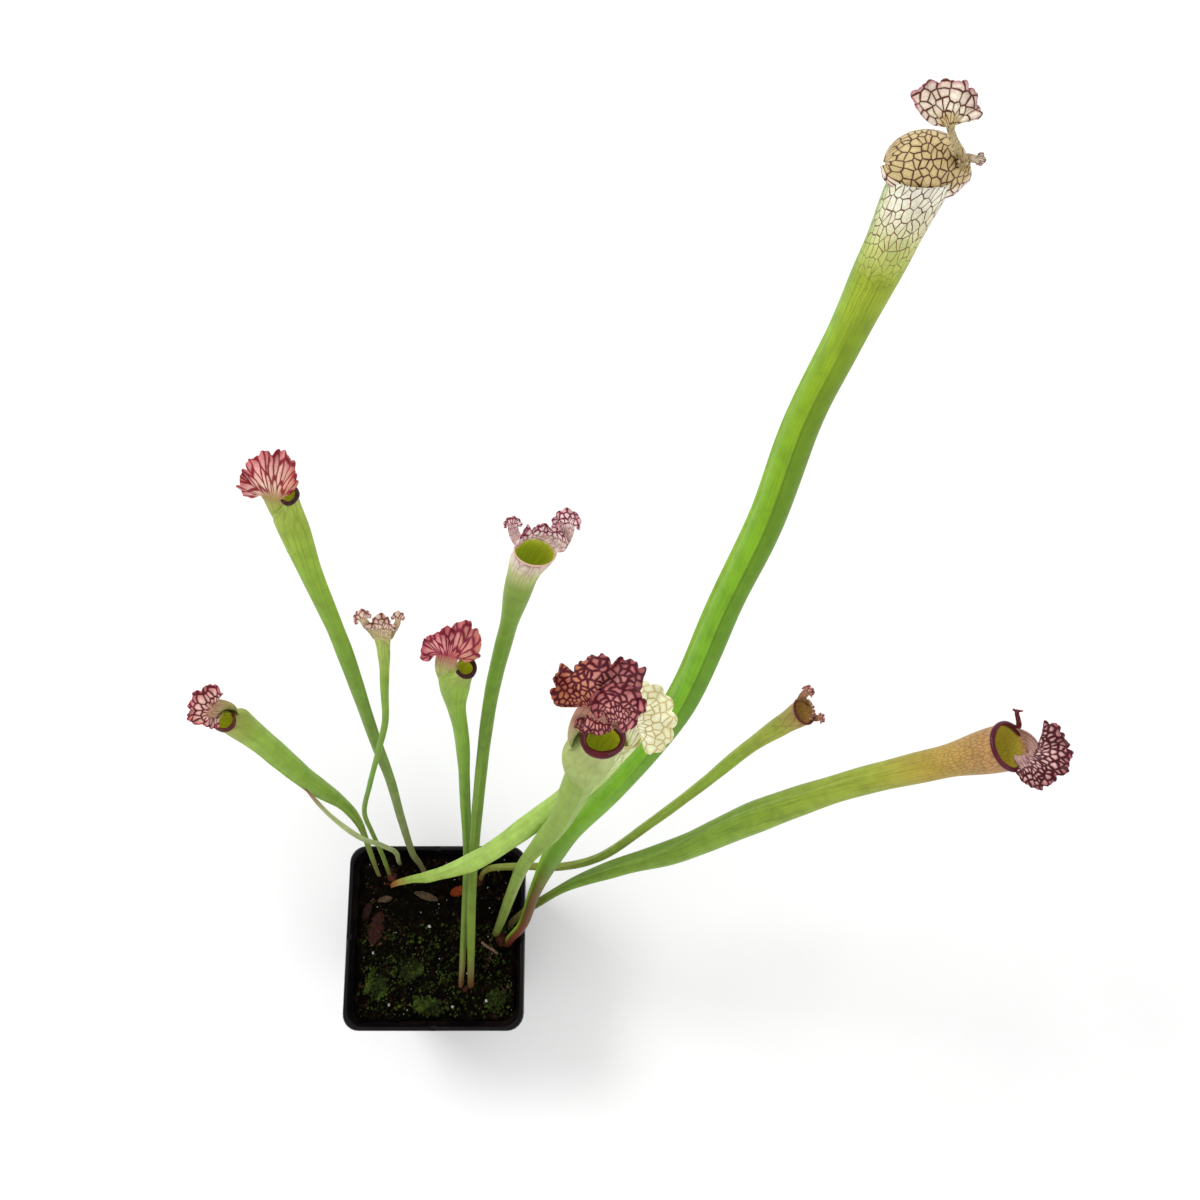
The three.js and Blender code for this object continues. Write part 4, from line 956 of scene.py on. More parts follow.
# The small leaf: seen from its back, with a narrow band of cells that ends in two curled horns.
small_leaf = {
    "facing": 92, "ridge": 0.3, "depth": [(0, 0.9), (0.77, 1)], "hollow": 0.7, "tilt": 24, "roll": 0.4,
    "rim_ends": 40,
    "spine": [(-25.5, 29, 68), (-25.5, 33, 78), (-26.5, 42, 97), (-28, 50, 114), (-29, 58, 130),
              (-23, 69, 152), (-15, 83, 176), (-10, 93, 192), (-8, 103, 208), (-6, 115, 224), (-6, 124, 234)],
    "widths": [(0, 2.2), (0.5, 2.4), (0.75, 3), (0.88, 4), (0.95, 5.4), (1, 6.4)],
}
small_lobes = [
    {"line": [(-7, 119.9, 222), (-6, 120.3, 230), (-5.2, 120.8, 237), (-4.6, 122, 241), (-4.6, 129.2, 245)],
     "faces": [(0, -0.6, 0.7), (0.05, -0.2, 0.97)], "root": (0.93, 250, 110),
     "foot": 3.6, "neck": 4.2, "column": 19.55, "sweep": 104, "columns": 84, "rows": 22,
     "outline": [(-1, 4.4), (-0.7, 4.8), (-0.45, 4.2), (0, 7), (0.4, 4.4), (0.7, 5), (1, 4.4)],
     "curl": [(0, -0.2), (8, -0.1), (16, 0)],
     "ruffles": [(3.5, 1.2, 0.4), (7, 0.7, 1)], "scallops": [(7, 0.1, 0.3), (12, 0.06, 1)]},
    {"line": [(-7.6, 120.9, 233), (-8.6, 122.4, 239), (-10.3, 124, 243), (-11.3, 125.7, 244.5),
              (-11.8, 129.2, 245)],
     "faces": [(0.2, -0.6, 0.7), (0.1, -0.3, 0.95)],
     "grown": (1.1, 1.2, 2), "share": 0.6, "foot": 1.8, "neck": 1.6, "column": 13.51, "sweep": 116,
     "columns": 32, "rows": 14,
     "outline": [(-1, 2.8), (0, 3.8), (1, 3)],
     "curl": [(0, 0.1), (8, 0.1)],
     "ruffles": [(2.5, 0.9, 0.4), (6, 0.5, 1)], "scallops": [(7, 0.1, 0.3)]},
    {"line": [(-2.7, 120.9, 233), (-0.1, 122.4, 239), (1.9, 124.2, 242), (2.5, 125.9, 243.5),
              (2.4, 129.1, 244)],
     "faces": [(-0.2, -0.6, 0.7), (0, -0.3, 0.95)],
     "grown": (1.1, 1.2, 2), "share": 0.5, "foot": 1.6, "neck": 1.2, "column": 13.21, "sweep": 110,
     "columns": 32, "rows": 14,
     "outline": [(-1, 2), (0, 3), (1, 2.2)],
     "curl": [(0, 0.1), (8, 0.1)],
     "ruffles": [(2.5, 0.7, 0.4)], "scallops": [(6, 0.1, 0.3)]},
]
small_look = {
    "flesh": [(0, "7a5a40"), (0.1, "74903a"), (0.5, "749f3e"), (0.85, "86ae3a"), (0.95, "b4c860"),
              (1.06, "dcc890"), (1.4, "f6e4d4"), (2.0, "eccabc")],
    "veins": [(0, "6a4a30", 0.3), (0.9, "7c9040", 0.4), (1.05, "8a7a40", 0.8), (1.4, "7a4038", 1.0),
              (2.0, "7a2c30", 1.0)],
    "net_from": 0.94, "tube_net": ((3.6, 0.8), 0.05, 0.1), "hood_net": ((5.5, 4.4), 0.07, 0.12),
    "blush": "c08a70", "cells_from": 1.04, "lip": ("5a2a24", "9a6a50"),
}
grow_leaf("pitcher_small", small_leaf, small_lobes, small_look)

# The left leaf: a thin stalk that widens into a bright tube. Its fan hood stands on an olive
# neck above the dark lip and wraps round its left end.
left_leaf = {
    "facing": 256, "ridge": 0.9, "depth": [(0, 0.75), (0.85, 1), (0.95, 1.05), (1, 0.62)], "hollow": 0.45,
    "tilt": 20, "roll": 0.9, "shift": (1.0, 2.6), "rim_ends": 30,
    "spine": [(-30, 27, 68), (-31.5, 33, 77), (-33, 41, 88), (-36, 55, 106), (-41, 63, 120), (-53, 72, 142),
              (-69, 87, 172), (-78, 95, 191)],
    "widths": [(0, 2.2), (0.25, 3.2), (0.4, 5.4), (0.6, 9.2), (0.85, 11), (1, 13)],
}
left_lobes = [
    {"line": [(-75.4, 94.7, 190), (-75.1, 94.6, 194), (-76.1, 95.7, 198), (-78.5, 96.2, 201.5),
              (-81.2, 96.4, 204), (-84.1, 98.7, 206), (-90.6, 103.6, 207)],
     "faces": [(-0.3, -0.7, 0.6), (0.05, -0.15, 0.98)], "root": (0.98, 142, 256),
     "foot": 7, "neck": 4.2, "column": 16.4, "sweep": 94, "columns": 96, "rows": 34,
     "outline": [(-1, 4), (-0.85, 6), (-0.45, 9.4), (0.2, 9.8), (0.6, 9.8), (0.85, 8), (1, 5)],
     "curl": [(0, -0.12), (10, -0.12), (20, 0.03), (34, 0.03)],
     "ruffles": [(2.5, 1.6, 0.4), (6, 1.1, 1), (11, 0.4, 0)],
     "scallops": [(7, 0.05, 0.3), (11, 0.04, 1), (19, 0.03, 0)]},
    {"line": [(-82.8, 95.2, 190), (-82.7, 93.7, 197), (-82.4, 91.1, 200), (-82.6, 89.1, 199)],
     "faces": [(0.3, -0.9, 0.2), (0, 0, 1)],
     "grown": (1.5, 1.55, 2), "share": 0.5, "foot": 3, "neck": 2.8, "column": 11.25, "sweep": 74,
     "columns": 36, "rows": 12,
     "outline": [(-1, 2.6), (0, 3), (1, 2.6)],
     "curl": [(0, 0.15), (8, 0.1)],
     "ruffles": [(3, 0.6, 0.4)], "scallops": [(5, 0.1, 0.3)]},
]
left_look = {
    "flesh": [(0, "7a5a40"), (0.15, "798d41"), (0.4, "82a73a"), (0.7, "8db23e"), (0.9, "9fbe49"),
              (0.97, "9faf4c"), (1.03, "b4b068"), (1.15, "b8a07c"), (1.3, "d0ac90"), (1.55, "f8dccc"),
              (1.85, "f0b0a8"), (2.0, "c44c5c")],
    "veins": [(0, "6a4a30", 0.3), (0.85, "7c9a40", 0.35), (1.0, "7a7040", 0.4), (1.1, "6c4c30", 0.6),
              (1.25, "5c2820", 0.9), (1.5, "5a1420", 1.0), (2.0, "5a1020", 1.0)],
    "net_from": 0.93, "tube_net": ((2.8, 0.9), 0.03, 0.1), "hood_net": ((5.4, 3.0), 0.09, 0.12),
    "blush": "c04058", "lip": ("2c0a08", "7a3020"),
}
grow_leaf("pitcher_left", left_leaf, left_lobes, left_look)

# The blade leaf: one narrow leaf that never opened into a pitcher, grey-green with a reddish tip.
blade = {
    "facing": 300, "ridge": 0.2, "depth": [(0, 0.8), (1, 0.5)], "tilt": 0,
    "spine": [(-20.5, 35.5, 68), (-20, 37.5, 80), (-19.5, 41, 92), (-24, 44, 112), (-32, 47, 124),
              (-43, 56, 140), (-52, 67, 154)],
    "widths": [(0, 1.8), (0.2, 2.4), (0.6, 3), (0.9, 2), (1, 1)],
}
blade_look = {
    "flesh": [(0, "7a5a40"), (0.15, "a3b17a"), (0.8, "b4c080"), (0.93, "a08a60"), (1.0, "8a5040"),
              (2.0, "8a5040")],
    "veins": [(0, "6a4a30", 0.3), (0.9, "8a9860", 0.4), (1.0, "6a4030", 0.4), (2.0, "6a4030", 0.4)],
    "net_from": 0.98, "tube_net": ((4, 0.5), 0.03, 0.1), "hood_net": ((4, 3), 0.05, 0.1),
    "lip": ("8a5040", "8a5040"),
}
grow_leaf("blade_leaf", blade, [], blade_look)

# The pot: a square nursery pot blown from thin black plastic, with tapered walls, a folded rim,
# a small notch in the middle of each side, and holes in the floor for the water to drain.
POT_FOOT = 66
POT_CORNER = 6
DRAIN_HOLE = (3.5, 3.5, 4)
DRAIN_PLACES = ((-23, -23), (23, -23), (-23, 23), (23, 23), (-23, 0), (23, 0), (0, -23), (0, 23))
RIM_TOP = 80
NOTCH_LONG, NOTCH_WIDE, NOTCH_DEEP = 4, 1.5, 1.1
NOTCH_PLACES = ((0, -44), (0, 44), (-44, 0), (44, 0))
MOULDED_EDGE = 0.5
DIRT_TOP, DIRT_FULL, DIRT_LOW, DIRT_FOOT = 0.0805, 0.0745, 0.073, 0.064
bpy.ops.object.select_all(action="DESELECT")
bpy.ops.mesh.primitive_plane_add(size=POT_FOOT * MM)
pot = bpy.context.object
pot.name = "nursery_pot"
bpy.ops.object.mode_set(mode="EDIT")
bpy.ops.mesh.select_all(action="SELECT")
bpy.ops.mesh.bevel(offset=POT_CORNER * MM, segments=6, affect="VERTICES")
# Each step is the next width and the climb to it: up the wall, round the rim, down the inside.
POT_STEPS = ((67, 1), (84, 72), (89.4, 0.4), (90, 0.8), (90, 4.6), (89, 1.2), (86, 0), (85, -0.8),
             (81.6, -6.2), (64, -70.9), (63, -0.5))
width = POT_FOOT
for next_width, climb in POT_STEPS:
    bpy.ops.mesh.extrude_region_move(TRANSFORM_OT_translate={"value": (0, 0, climb * MM)})
    wider = next_width / width
    bpy.ops.transform.resize(value=(wider, wider, 1), center_override=(0, 0, 0))
    width = next_width
face_out()
cutters = [("hole", (x, y, 0), DRAIN_HOLE) for x, y in DRAIN_PLACES]
cutters += [("notch", (x, y, RIM_TOP), (NOTCH_WIDE, NOTCH_LONG, NOTCH_DEEP) if y else
             (NOTCH_LONG, NOTCH_WIDE, NOTCH_DEEP)) for x, y in NOTCH_PLACES]
for kind, at, size in cutters:
    if kind == "notch":
        bpy.ops.mesh.primitive_cube_add(size=2, location=Vector(at) * MM)
    else:
        bpy.ops.mesh.primitive_cylinder_add(vertices=24, radius=1, depth=2, location=Vector(at) * MM)
    cutter = bpy.context.object
    cutter.scale = Vector(size) * MM
    opening = pot.modifiers.new("opening", "BOOLEAN")
    opening.object = cutter
    opening.solver = "EXACT"
    pick([pot])
    bpy.ops.object.modifier_apply(modifier=opening.name)
    bpy.data.objects.remove(cutter, do_unlink=True)
soften = pot.modifiers.new("moulded_edges", "BEVEL")
soften.width = MOULDED_EDGE * MM
soften.segments = 2
soften.limit_method = "ANGLE"
soften.angle_limit = math.radians(35)
bpy.ops.object.modifier_apply(modifier=soften.name)
bpy.ops.object.shade_smooth_by_angle(angle=math.radians(40))
# The plastic shines a little, and some peat clings to it in a band over and under the soil line.
finish, tree, shader = new_finish("black_plastic")
place = place_on(tree)
height_up = wire(tree, "SeparateXYZ", {0: place}).outputs["Z"]
smears = cloud(tree, place, 60.0, 5.0, 0.65)
near_soil = both(tree, between(tree, height_up, DIRT_TOP, DIRT_FULL),
                 between(tree, height_up, DIRT_FOOT, DIRT_LOW))
dirt = both(tree, near_soil, between(tree, smears, 0.45, 0.65))
bare = blend(tree, smears, paint("080608"), paint("120e11"))
emboss(tree, shader, cloud(tree, place, 500.0, 3.0), 0.12, 0.0003)
feed(tree, shader, {
    "Base Color": blend(tree, both(tree, dirt, 0.6), bare, paint("2c221a")),
    "Roughness": between(tree, smears, 0.0, 1.0, 0.14, 0.34),
    "Specular IOR Level": 0.14,
})
pot.data.materials.append(finish)
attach(pot, "root")
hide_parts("pot")

# The soil: damp black-brown peat, crumbly on top, with chips of fibre and pale grains of
# expanded rock mixed in. It fills the pot to a few millimetres under the rim.
SOIL_TOP = 73.4
SOIL_HALF = 40.4
SOIL_DEEP = 71.5
SOIL_FOOT = 2.2
SOIL_TAPER = 0.77
SOIL_STEPS = 190
CORNER_POWER = 16
SWELLS = ((0.9, 0.09, 1), (0.7, 0.35, 5), (0.45, 1.1, 9))
CRUMB_HIGH, CRUMB_SCALE = 0.25, 0.55


def under_noise(x, y, scale, seed):
    """Soft uneven ground at a point."""
    return noise.noise(Vector((x * scale, y * scale, seed)))


def soil_height(x, y):
    """How high the peat lies at a point, in millimetres."""
    crumbs = noise.cell(Vector((x * CRUMB_SCALE, y * CRUMB_SCALE, 3.1)))
    rough = sum(high * under_noise(x, y, scale, seed) for high, scale, seed in SWELLS)
    return SOIL_TOP + rough + CRUMB_HIGH * crumbs


ground = np.zeros((SOIL_STEPS + 1, SOIL_STEPS + 1, 3))
for j, v in enumerate(np.linspace(-1, 1, SOIL_STEPS + 1)):
    for i, w in enumerate(np.linspace(-1, 1, SOIL_STEPS + 1)):
        rounded = max((abs(v) ** CORNER_POWER + abs(w) ** CORNER_POWER) ** (1 / CORNER_POWER), 1e-9)
        corner = max(abs(v), abs(w)) / rounded
        x, y = SOIL_HALF * w * corner, SOIL_HALF * v * corner
        ground[j, i] = (x, y, soil_height(x, y))
soil = new_sheet("peat", ground, ground[:, :, :2] / MM_IN_CM)
pick([soil])
bpy.ops.object.mode_set(mode="EDIT")
bpy.ops.mesh.select_all(action="SELECT")
bpy.ops.mesh.extrude_region_move(TRANSFORM_OT_translate={"value": (0, 0, -SOIL_DEEP * MM)})
bpy.ops.transform.resize(value=(SOIL_TAPER, SOIL_TAPER, 0.02), center_override=(0, 0, SOIL_FOOT * MM))
face_out()
bpy.ops.object.shade_smooth_by_angle(angle=math.radians(60))
finish, tree, shader = new_finish("damp_peat")
place = place_on(tree)
lumps = cloud(tree, place, 220.0, 6.0, 0.7)
fibres = wire(tree, "TexVoronoi", {"Vector": place, "Scale": 700.0}).outputs["Distance"]
dark, _ = ramp(tree, lumps, [(0.35, "010100"), (0.5, "070502"), (0.6, "140d07"), (0.7, "3c281a"),
                             (0.8, "74664e")])
wet = between(tree, cloud(tree, place, 45.0, 2.0), 0.5, 0.7)
emboss(tree, shader, sums(tree, "ADD", lumps, both(tree, fibres, 0.6)), 1.0, 0.0012)
feed(tree, shader, {
    "Base Color": blend(tree, wet, dark, paint("080703")),
    "Roughness": between(tree, lumps, 0.0, 1.0, 0.45, 0.95),
    "Specular IOR Level": 0.02,
})
soil.data.materials.append(finish)
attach(soil, "root")
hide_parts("soil")

# Peat crumbs: torn lumps and chips of dark fibre that lie loose on the peat.
CRUMBS = 760
CRUMB_SIZES = (0.3, 1.2)
OPEN_SOIL = 38.5
SUNK = 0.2
FULL_TURN = 6.28
TUMBLED = 1.5


def scatter(name, pattern, spots, finish, seed):
    """Copies one small shape to many spots, each turned and sized its own way, as one piece."""
    chance = random.Random(seed)
    copies = []
    for x, y, z, size, lean in spots:
        one = pattern.copy()
        one.data = pattern.data.copy()
        bpy.context.collection.objects.link(one)
        one.location = Vector((x, y, z)) * MM
        one.rotation_euler = (chance.uniform(-lean, lean), chance.uniform(-lean, lean),
                              chance.uniform(0, FULL_TURN))
        one.scale = Vector((chance.uniform(0.75, 1.25), chance.uniform(0.75, 1.25),
                            chance.uniform(0.8, 1.2))) * size
        copies.append(one)
    pick(copies)
    bpy.ops.object.join()
    bpy.ops.object.transform_apply(location=True, rotation=True, scale=True)
    whole = bpy.context.object
    whole.name = name
    whole.data.materials.clear()
    whole.data.materials.append(finish)
    bpy.data.objects.remove(pattern, do_unlink=True)
    return whole


def free_spots(count, seed, sizes, lean=TUMBLED, region=None):
    """Spots on the open soil, in millimetres, each with a size between two limits and its lean."""
    chance = random.Random(seed)
    spots = []
    while len(spots) < count:
        x, y = chance.uniform(-OPEN_SOIL, OPEN_SOIL), chance.uniform(-OPEN_SOIL, OPEN_SOIL)
        if region is None or chance.random() < region(x, y):
            spots.append((x, y, soil_height(x, y) - SUNK, chance.uniform(*sizes), lean))
    return spots


bpy.ops.mesh.primitive_ico_sphere_add(subdivisions=1, radius=MM)
crumb = bpy.context.object
bpy.ops.transform.resize(value=(1.3, 0.8, 0.55))
bpy.ops.object.transform_apply(scale=True)
finish, tree, shader = new_finish("peat_fibre")
patches = cloud(tree, place_on(tree), 140.0, 4.0)
feed(tree, shader, {
    "Base Color": ramp(tree, patches, [(0.3, "040302"), (0.48, "0e0906"), (0.58, "28150e"),
                                       (0.68, "4c3324"), (0.8, "8c7e68")])[0],
    "Roughness": 0.85,
    "Specular IOR Level": 0.06,
})
crumbs = scatter("peat_crumbs", crumb, free_spots(CRUMBS, 4, CRUMB_SIZES), finish, 5)
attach(crumbs, "root")

# Perlite: pale puffed grains of volcanic glass, some of them half buried, and six larger ones.
GRAINS = 120
GRAIN_SIZES = (0.14, 0.42)
LARGE_GRAINS_UP = 73.6
LARGE_GRAINS = ((-4, 5, 0.9), (26, -31, 0.9), (-23, -33, 0.8), (9, -34, 0.8), (16, -18, 0.6), (-32, -8, 0.7))
bpy.ops.mesh.primitive_ico_sphere_add(subdivisions=2, radius=MM)
grain = bpy.context.object
bpy.ops.object.mode_set(mode="EDIT")
bpy.ops.mesh.select_all(action="SELECT")
bpy.ops.transform.vertex_random(offset=0.2 * MM, seed=3)
bpy.ops.object.mode_set(mode="OBJECT")
finish, tree, shader = new_finish("perlite_grain")
stain = cloud(tree, place_on(tree), 90.0, 4.0)
feed(tree, shader, {
    "Base Color": ramp(tree, stain, [(0.3, "6e6a5c"), (0.5, "9c978a"), (0.7, "c4c2b8")])[0],
    "Roughness": 0.9,
})
spots = free_spots(GRAINS, 8, GRAIN_SIZES)
spots += [(x, y, LARGE_GRAINS_UP, size, TUMBLED) for x, y, size in LARGE_GRAINS]
grains = scatter("perlite_grains", grain, spots, finish, 9)
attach(grains, "root")

# Moss: small leafy shoots that stand close together, as four cushions and as single tufts
# between them on the front half of the soil. A cushion is its place, its half sizes and its turn.
STEM_HIGH = 1.2
STEM_FOOT, STEM_TOP = 0.12, 0.06
WHORLS = ((0.4, 1.1), (0.8, 0.9), (1.2, 0.6))
LEAFLETS = 5
LEAFLET_ROOT = 0.22
CUSHIONS = {
    "moss_front_left": ((-14, -17), (9, 6, 2.3), 20),
    "moss_front": ((-3, -33.5), (11, 4.6, 2.2), -5),
    "moss_front_right": ((31, -30), (6, 5, 2.2), 30),
    "moss_side": ((-30, -24), (6, 7.5, 2.2), 0),
}
CUSHION_SHOOTS = 80
CUSHION_UP = 72.9
CUSHION_FILLS = 0.9
CUSHION_HIGH = 1.1
CUSHION_BUMP = 0.6
SHOOTS_UP, DOME_HIGH = 73.2, 0.9
TUFTS = 1400
TUFT_SIZES = (0.35, 1.15)
SHOOT_LEAN = 0.6


def moss_shoot():
    """One shoot: a short stem with three whorls of pointed leaves, shorter towards the tip."""
    bpy.ops.mesh.primitive_cone_add(vertices=5, radius1=STEM_FOOT * MM, radius2=STEM_TOP * MM,
                                    depth=STEM_HIGH * MM, location=(0, 0, STEM_HIGH / 2 * MM))
    parts = [bpy.context.object]
    for whorl, (climb, length) in enumerate(WHORLS):
        for k in range(LEAFLETS):
            turn = 2 * math.pi * (k / LEAFLETS + whorl * 0.1)
            bpy.ops.mesh.primitive_cone_add(vertices=3, radius1=LEAFLET_ROOT * MM, radius2=0,
                                            depth=length * MM)
            leaflet = bpy.context.object
            leaflet.rotation_euler = (math.radians(62 - 14 * whorl), 0, turn + math.pi / 2)
            out = length * MM * 0.42
            leaflet.location = (math.cos(turn) * out, math.sin(turn) * out, (climb + 0.2) * MM)
            parts.append(leaflet)
    pick(parts)
    bpy.ops.object.join()
    bpy.ops.object.transform_apply(location=True, rotation=True, scale=True)
    return parts[0]


def moss_finish(name, low, middle, high):
    """Green that changes from tuft to tuft, and is a little yellower at the tips."""
    finish, tree, shader = new_finish(name)
    place = place_on(tree)
    green, _ = ramp(tree, cloud(tree, place, 160.0, 4.0), [(0.3, low), (0.5, middle), (0.7, high)])
    tip = between(tree, wire(tree, "SeparateXYZ", {0: place}).outputs["Z"], 0.0735, 0.0765)
    feed(tree, shader, {
        "Base Color": blend(tree, both(tree, tip, 0.3), green, paint("76863a")),
        "Roughness": 0.7,
        "Specular IOR Level": 0.1,
    })
    return finish


for number, (name, (at, radii, turn)) in enumerate(CUSHIONS.items()):
    bpy.ops.object.select_all(action="DESELECT")
    bpy.ops.mesh.primitive_ico_sphere_add(subdivisions=4, radius=1)
    pad = bpy.context.object
    pad.scale = Vector((radii[0] * CUSHION_FILLS, radii[1] * CUSHION_FILLS, CUSHION_HIGH)) * MM
    pad.rotation_euler = (0, 0, math.radians(turn))
    pad.location = Vector((at[0], at[1], CUSHION_UP)) * MM
    bpy.ops.object.transform_apply(location=True, rotation=True, scale=True)
    for corner in pad.data.vertices:
        corner.co.z += CUSHION_BUMP * MM * noise.noise(corner.co * 400) * (corner.co.z > CUSHION_UP * MM)
    chance = random.Random(20 + number)
    c, k = math.cos(math.radians(turn)), math.sin(math.radians(turn))
    spots = []
    while len(spots) < CUSHION_SHOOTS:
        a = chance.uniform(0, FULL_TURN)
        r = chance.random() ** 0.7 * 1.12
        along_it = radii[0] * r * math.cos(a) * CUSHION_FILLS
        across_it = radii[1] * r * math.sin(a) * CUSHION_FILLS
        dome = SHOOTS_UP + DOME_HIGH * math.sqrt(max(0, 1 - 0.8 * r * r))
        spots.append((at[0] + along_it * c - across_it * k, at[1] + along_it * k + across_it * c, dome,
                      chance.uniform(0.6, 1.35), SHOOT_LEAN))
    finish = moss_finish(name + "_green", "060902", "1a240a", "566c24")
    shoots = scatter(name + "_shoots", moss_shoot(), spots, finish, 30 + number)
    pad.data.materials.append(finish)
    pick([pad, shoots])
    bpy.ops.object.join()
    pad.name = name + "_cushion"
    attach(pad, "root")
    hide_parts(name)


def mossy(x, y):
    """How likely a tuft is: seldom on the back half, and in patches on the front half."""
    return 0.06 if y > 6 else 0.4 + 0.6 * (under_noise(x, y, 0.12, 2) > 0)


tuft_finish = moss_finish("moss_tuft_green", "060a02", "1c260a", "586c26")
tuft_spots = free_spots(TUFTS, 12, TUFT_SIZES, SHOOT_LEAN, mossy)
tufts = scatter("moss_tufts", moss_shoot(), tuft_spots, tuft_finish, 13)
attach(tufts, "root")

# Rhizome crowns: knobbly dark red-brown stubs at soil level, wrapped in the dry bases of old
# leaves, that the living leaves grow from. Each is its middle, its half sizes and its turn.
CROWNS = {
    "crown_left": ((-25, 29.5, 70), (10, 6, 4.4), 55),
    "crown_right": ((33.2, 0.5, 70), (8.4, 5.6, 4.6), 90),
    "crown_front": ((15, -26, 70), (6.4, 5, 4.2), 10),
    "crown_back": ((-7.5, 30.5, 70), (4.8, 4.4, 4), 0),
    "crown_back_right": ((20.5, 27, 70), (5.2, 4.6, 4), 40),
}
CROWN_FILLS = 0.97
RIB_DEEP, RIBS = 0.06, 6
KNOB_HIGH, GRAIN_HIGH = 0.07, 0.03
for name, (at, radii, turn) in CROWNS.items():
    bpy.ops.object.select_all(action="DESELECT")
    bpy.ops.mesh.primitive_ico_sphere_add(subdivisions=5, radius=1)
    crown = bpy.context.object
    crown.name = name + "_stub"
    middle = Vector(at) * MM
    crown.scale = Vector(radii) * MM * CROWN_FILLS
    crown.rotation_euler = (0, 0, math.radians(turn))
    crown.location = middle
    bpy.ops.object.transform_apply(location=True, rotation=True, scale=True)
    for corner in crown.data.vertices:
        away = corner.co - middle
        around = math.atan2(away.y, away.x)
        ribs = RIB_DEEP * abs(math.sin(RIBS * around + 3 * noise.noise(corner.co * 120)))
        knobs = KNOB_HIGH * noise.noise(corner.co * 260)
        corner.co = middle + away * (CROWN_FILLS - ribs + knobs + GRAIN_HIGH * noise.noise(corner.co * 900))
    bpy.ops.object.shade_smooth_by_angle(angle=math.radians(50))
    finish, tree, shader = new_finish(name + "_rind")
    drawn_out = wire(tree, "Mapping", {0: place_on(tree), 3: (1, 1, 0.25)}).outputs[0]
    streaks = cloud(tree, drawn_out, 260.0, 5.0, 0.65)
    emboss(tree, shader, streaks, 0.6, 0.0006)
    feed(tree, shader, {
        "Base Color": ramp(tree, streaks, [(0.3, "120806"), (0.5, "3a1710"), (0.64, "5a2a1a"),
                                           (0.8, "8a6040")])[0],
        "Roughness": 0.7,
        "Specular IOR Level": 0.12,
    })
    crown.data.materials.append(finish)
    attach(crown, "root")
    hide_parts(name)

# Withered scraps on the soil: curled bits of old leaf, a chip of bark and a stub, each a thin
# brown shell that has dried and rolled up along its length. Each is its middle, its half sizes,
# its turn, its dark, middle and light colour, and its material slot.
SCRAPS = {
    "old_leaf_base": ((-31, 4, 73.9), (4, 8.5, 2.4), -12, "100706 2c1410 5a342a", "old_leaf"),
    "bark_chip": ((-36, 12.5, 73.9), (2.2, 5, 1.8), -20, "0a0605 1e110d 40281c", "twig_bark"),
    "dry_leaf_scrap": ((-6, 20, 74.3), (6.4, 2, 1.4), -18, "20170f 4c3b2c 84705a", "old_leaf"),
    "orange_leaf_scrap": ((10.5, 22.5, 74.3), (4.6, 2.6, 1.6), 15, "200a05 702a0e a8501e", "old_leaf"),
    "leaf_stub": ((-27, 18.5, 74.1), (3.8, 1.7, 1.5), 8, "1e1510 4a382c 7c6854", "old_leaf"),
}
SCRAP_ACROSS, SCRAP_LONG = 24, 40
SCRAP_SHEET = 0.45
SCRAP_ROLL = 1.25


def dry_grain(tree, stretch, scale):
    """Streaks along a dried piece, drawn out on its chart."""
    chart = wire(tree, "UVMap", uv_map="chart").outputs[0]
    drawn_out = wire(tree, "Mapping", {0: chart, 3: stretch}).outputs[0]
    return cloud(tree, drawn_out, scale, 6.0, 0.7)


for number, (name, (at, radii, turn, colours, slot)) in enumerate(SCRAPS.items()):
    long_way, short_way = max(radii[0], radii[1]), min(radii[0], radii[1])
    points = np.zeros((SCRAP_LONG + 1, SCRAP_ACROSS + 1, 3))
    for j, v in enumerate(np.linspace(-1, 1, SCRAP_LONG + 1)):
        taper = (1 - abs(v) ** 3 * 0.85) * (1 + 0.3 * noise.noise(Vector((4 * v, number, 0))))
        for i, w in enumerate(np.linspace(-1, 1, SCRAP_ACROSS + 1)):
            roll = SCRAP_ROLL * w
            wobble = 0.6 * noise.noise(Vector((3 * v, 2.2 * w, number)))
            lengthways = long_way * (v * 0.97 + 0.05 * math.sin(9 * w + number) * abs(v) ** 4)
            sideways = short_way * taper * math.sin(roll) * 0.98
            upwards = radii[2] * (taper * (math.cos(roll) - 0.25) * 0.85 + wobble * 0.5 - 0.12 * v * v)
            points[j, i] = (sideways, lengthways, upwards)
    spin = math.radians(turn + (90 if radii[0] > radii[1] else 0))
    turned = points.copy()
    turned[:, :, 0] = at[0] + points[:, :, 0] * math.cos(spin) - points[:, :, 1] * math.sin(spin)
    turned[:, :, 1] = at[1] + points[:, :, 0] * math.sin(spin) + points[:, :, 1] * math.cos(spin)
    turned[:, :, 2] = at[2] + points[:, :, 2]
    shell = new_sheet(name + "_shell", turned, points[:, :, :2] / MM_IN_CM)
    thicken(shell, SCRAP_SHEET, -1)
    close_seams(shell, 50)
    finish, tree, shader = new_finish(name + "_dry")
    streaks = dry_grain(tree, (9, 1.6, 1), 2.5)
    emboss(tree, shader, streaks, 0.5, 0.0005)
    feed(tree, shader, {
        "Base Color": ramp(tree, streaks, list(zip((0.3, 0.52, 0.72), colours.split())))[0],
        "Roughness": 0.8,
        "Specular IOR Level": 0.1,
    })
    shell.data.materials.append(finish)
    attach(shell, "root")
    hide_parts(name)

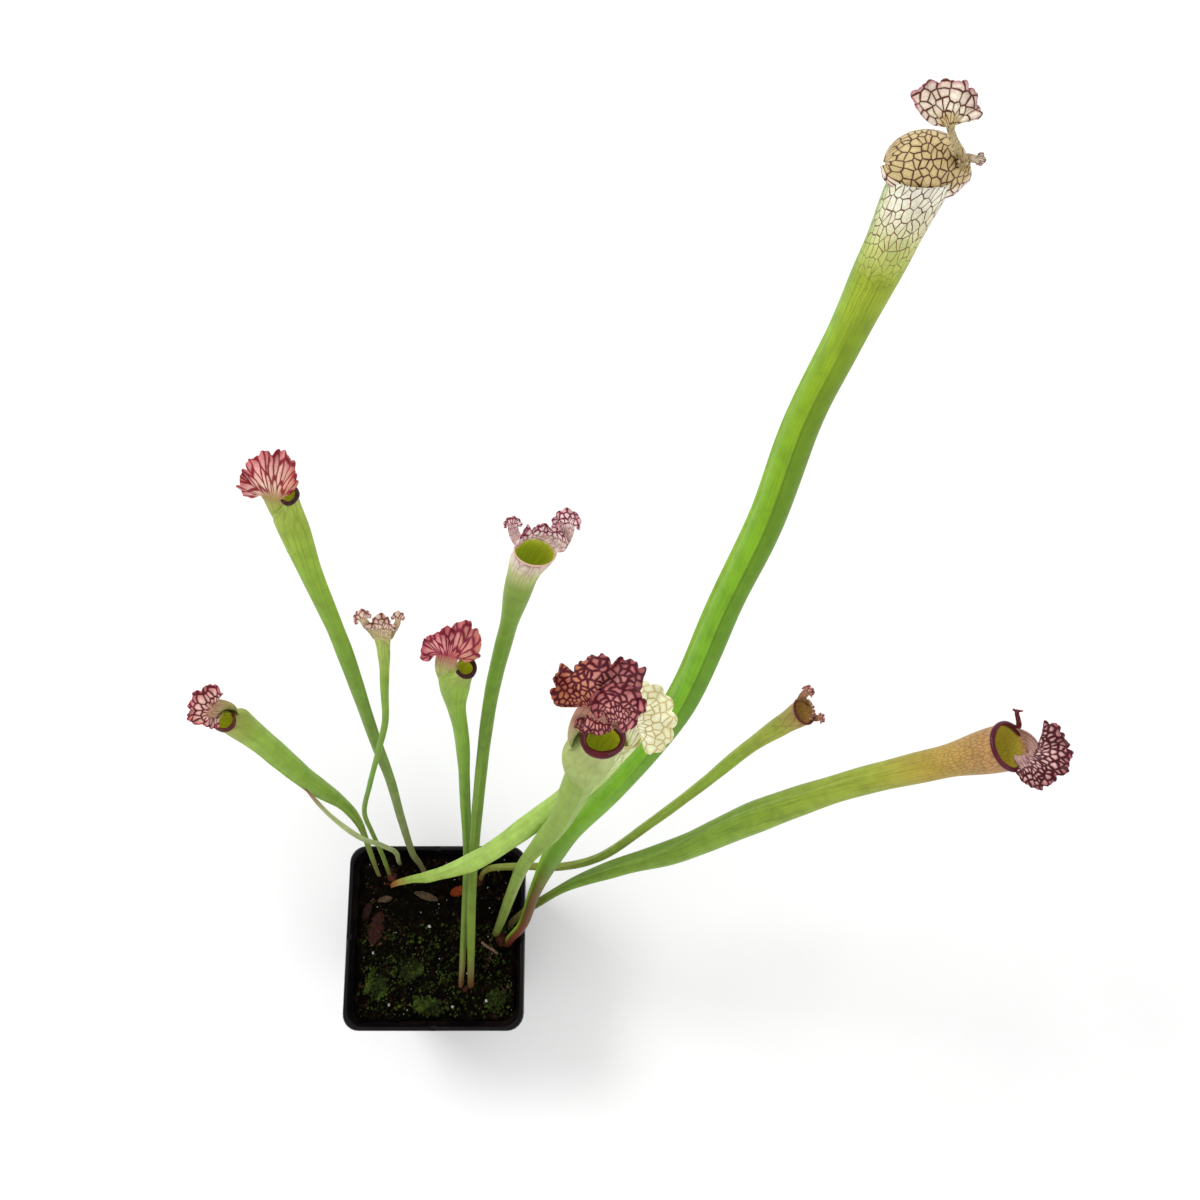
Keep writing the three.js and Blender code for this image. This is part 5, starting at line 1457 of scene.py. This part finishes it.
# The twig: a bent bit of thin stem with two knots and broken ends, that lies on the peat.
TWIG_AT = (27, -5.5, 74.2)
TWIG_LIES = math.radians(-38)
TWIG_HALF = 5.3
TWIG_THICK = 0.72
TWIG_KNOTS = ((0.28, 0.25, 0.09), (0.22, -0.45, 0.08))
TWIG_AROUND, TWIG_STEPS = 14, 48
points = np.zeros((TWIG_STEPS + 1, TWIG_AROUND + 1, 3))
for j, v in enumerate(np.linspace(-1, 1, TWIG_STEPS + 1)):
    thick = TWIG_THICK
    for high, spot, wide in TWIG_KNOTS:
        thick += high * math.exp(-((v - spot) / wide) ** 2)
    thick *= {0: 0.001, 1: 0.75, TWIG_STEPS - 1: 0.75, TWIG_STEPS: 0.001}.get(j, 1)
    middle = (TWIG_HALF * v, 0.35 * math.sin(2.4 * v), 0.25 * math.cos(3 * v))
    for i in range(TWIG_AROUND + 1):
        a = 2 * math.pi * i / TWIG_AROUND
        grow = thick * (0.95 + 0.12 * noise.noise(Vector((6 * v, 1.5 * math.cos(a), 1.5 * math.sin(a)))))
        side, rise = middle[1] + grow * math.cos(a), middle[2] + grow * 0.85 * math.sin(a)
        points[j, i] = (TWIG_AT[0] + middle[0] * math.cos(TWIG_LIES) - side * math.sin(TWIG_LIES),
                        TWIG_AT[1] + middle[0] * math.sin(TWIG_LIES) + side * math.cos(TWIG_LIES),
                        TWIG_AT[2] + rise)
chart = np.meshgrid(np.linspace(0, 0.5, TWIG_AROUND + 1), np.linspace(0, 1.1, TWIG_STEPS + 1))
twig = new_sheet("twig_stem", points, np.stack(chart, axis=2))
close_seams(twig, 50)
finish, tree, shader = new_finish("twig_rind")
streaks = dry_grain(tree, (8, 2, 1), 3.0)
emboss(tree, shader, streaks, 0.5, 0.0004)
feed(tree, shader, {
    "Base Color": ramp(tree, streaks, [(0.3, "30201a"), (0.5, "684c3e"), (0.7, "98786a")])[0],
    "Roughness": 0.7,
})
twig.data.materials.append(finish)
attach(twig, "root")
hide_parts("twig")
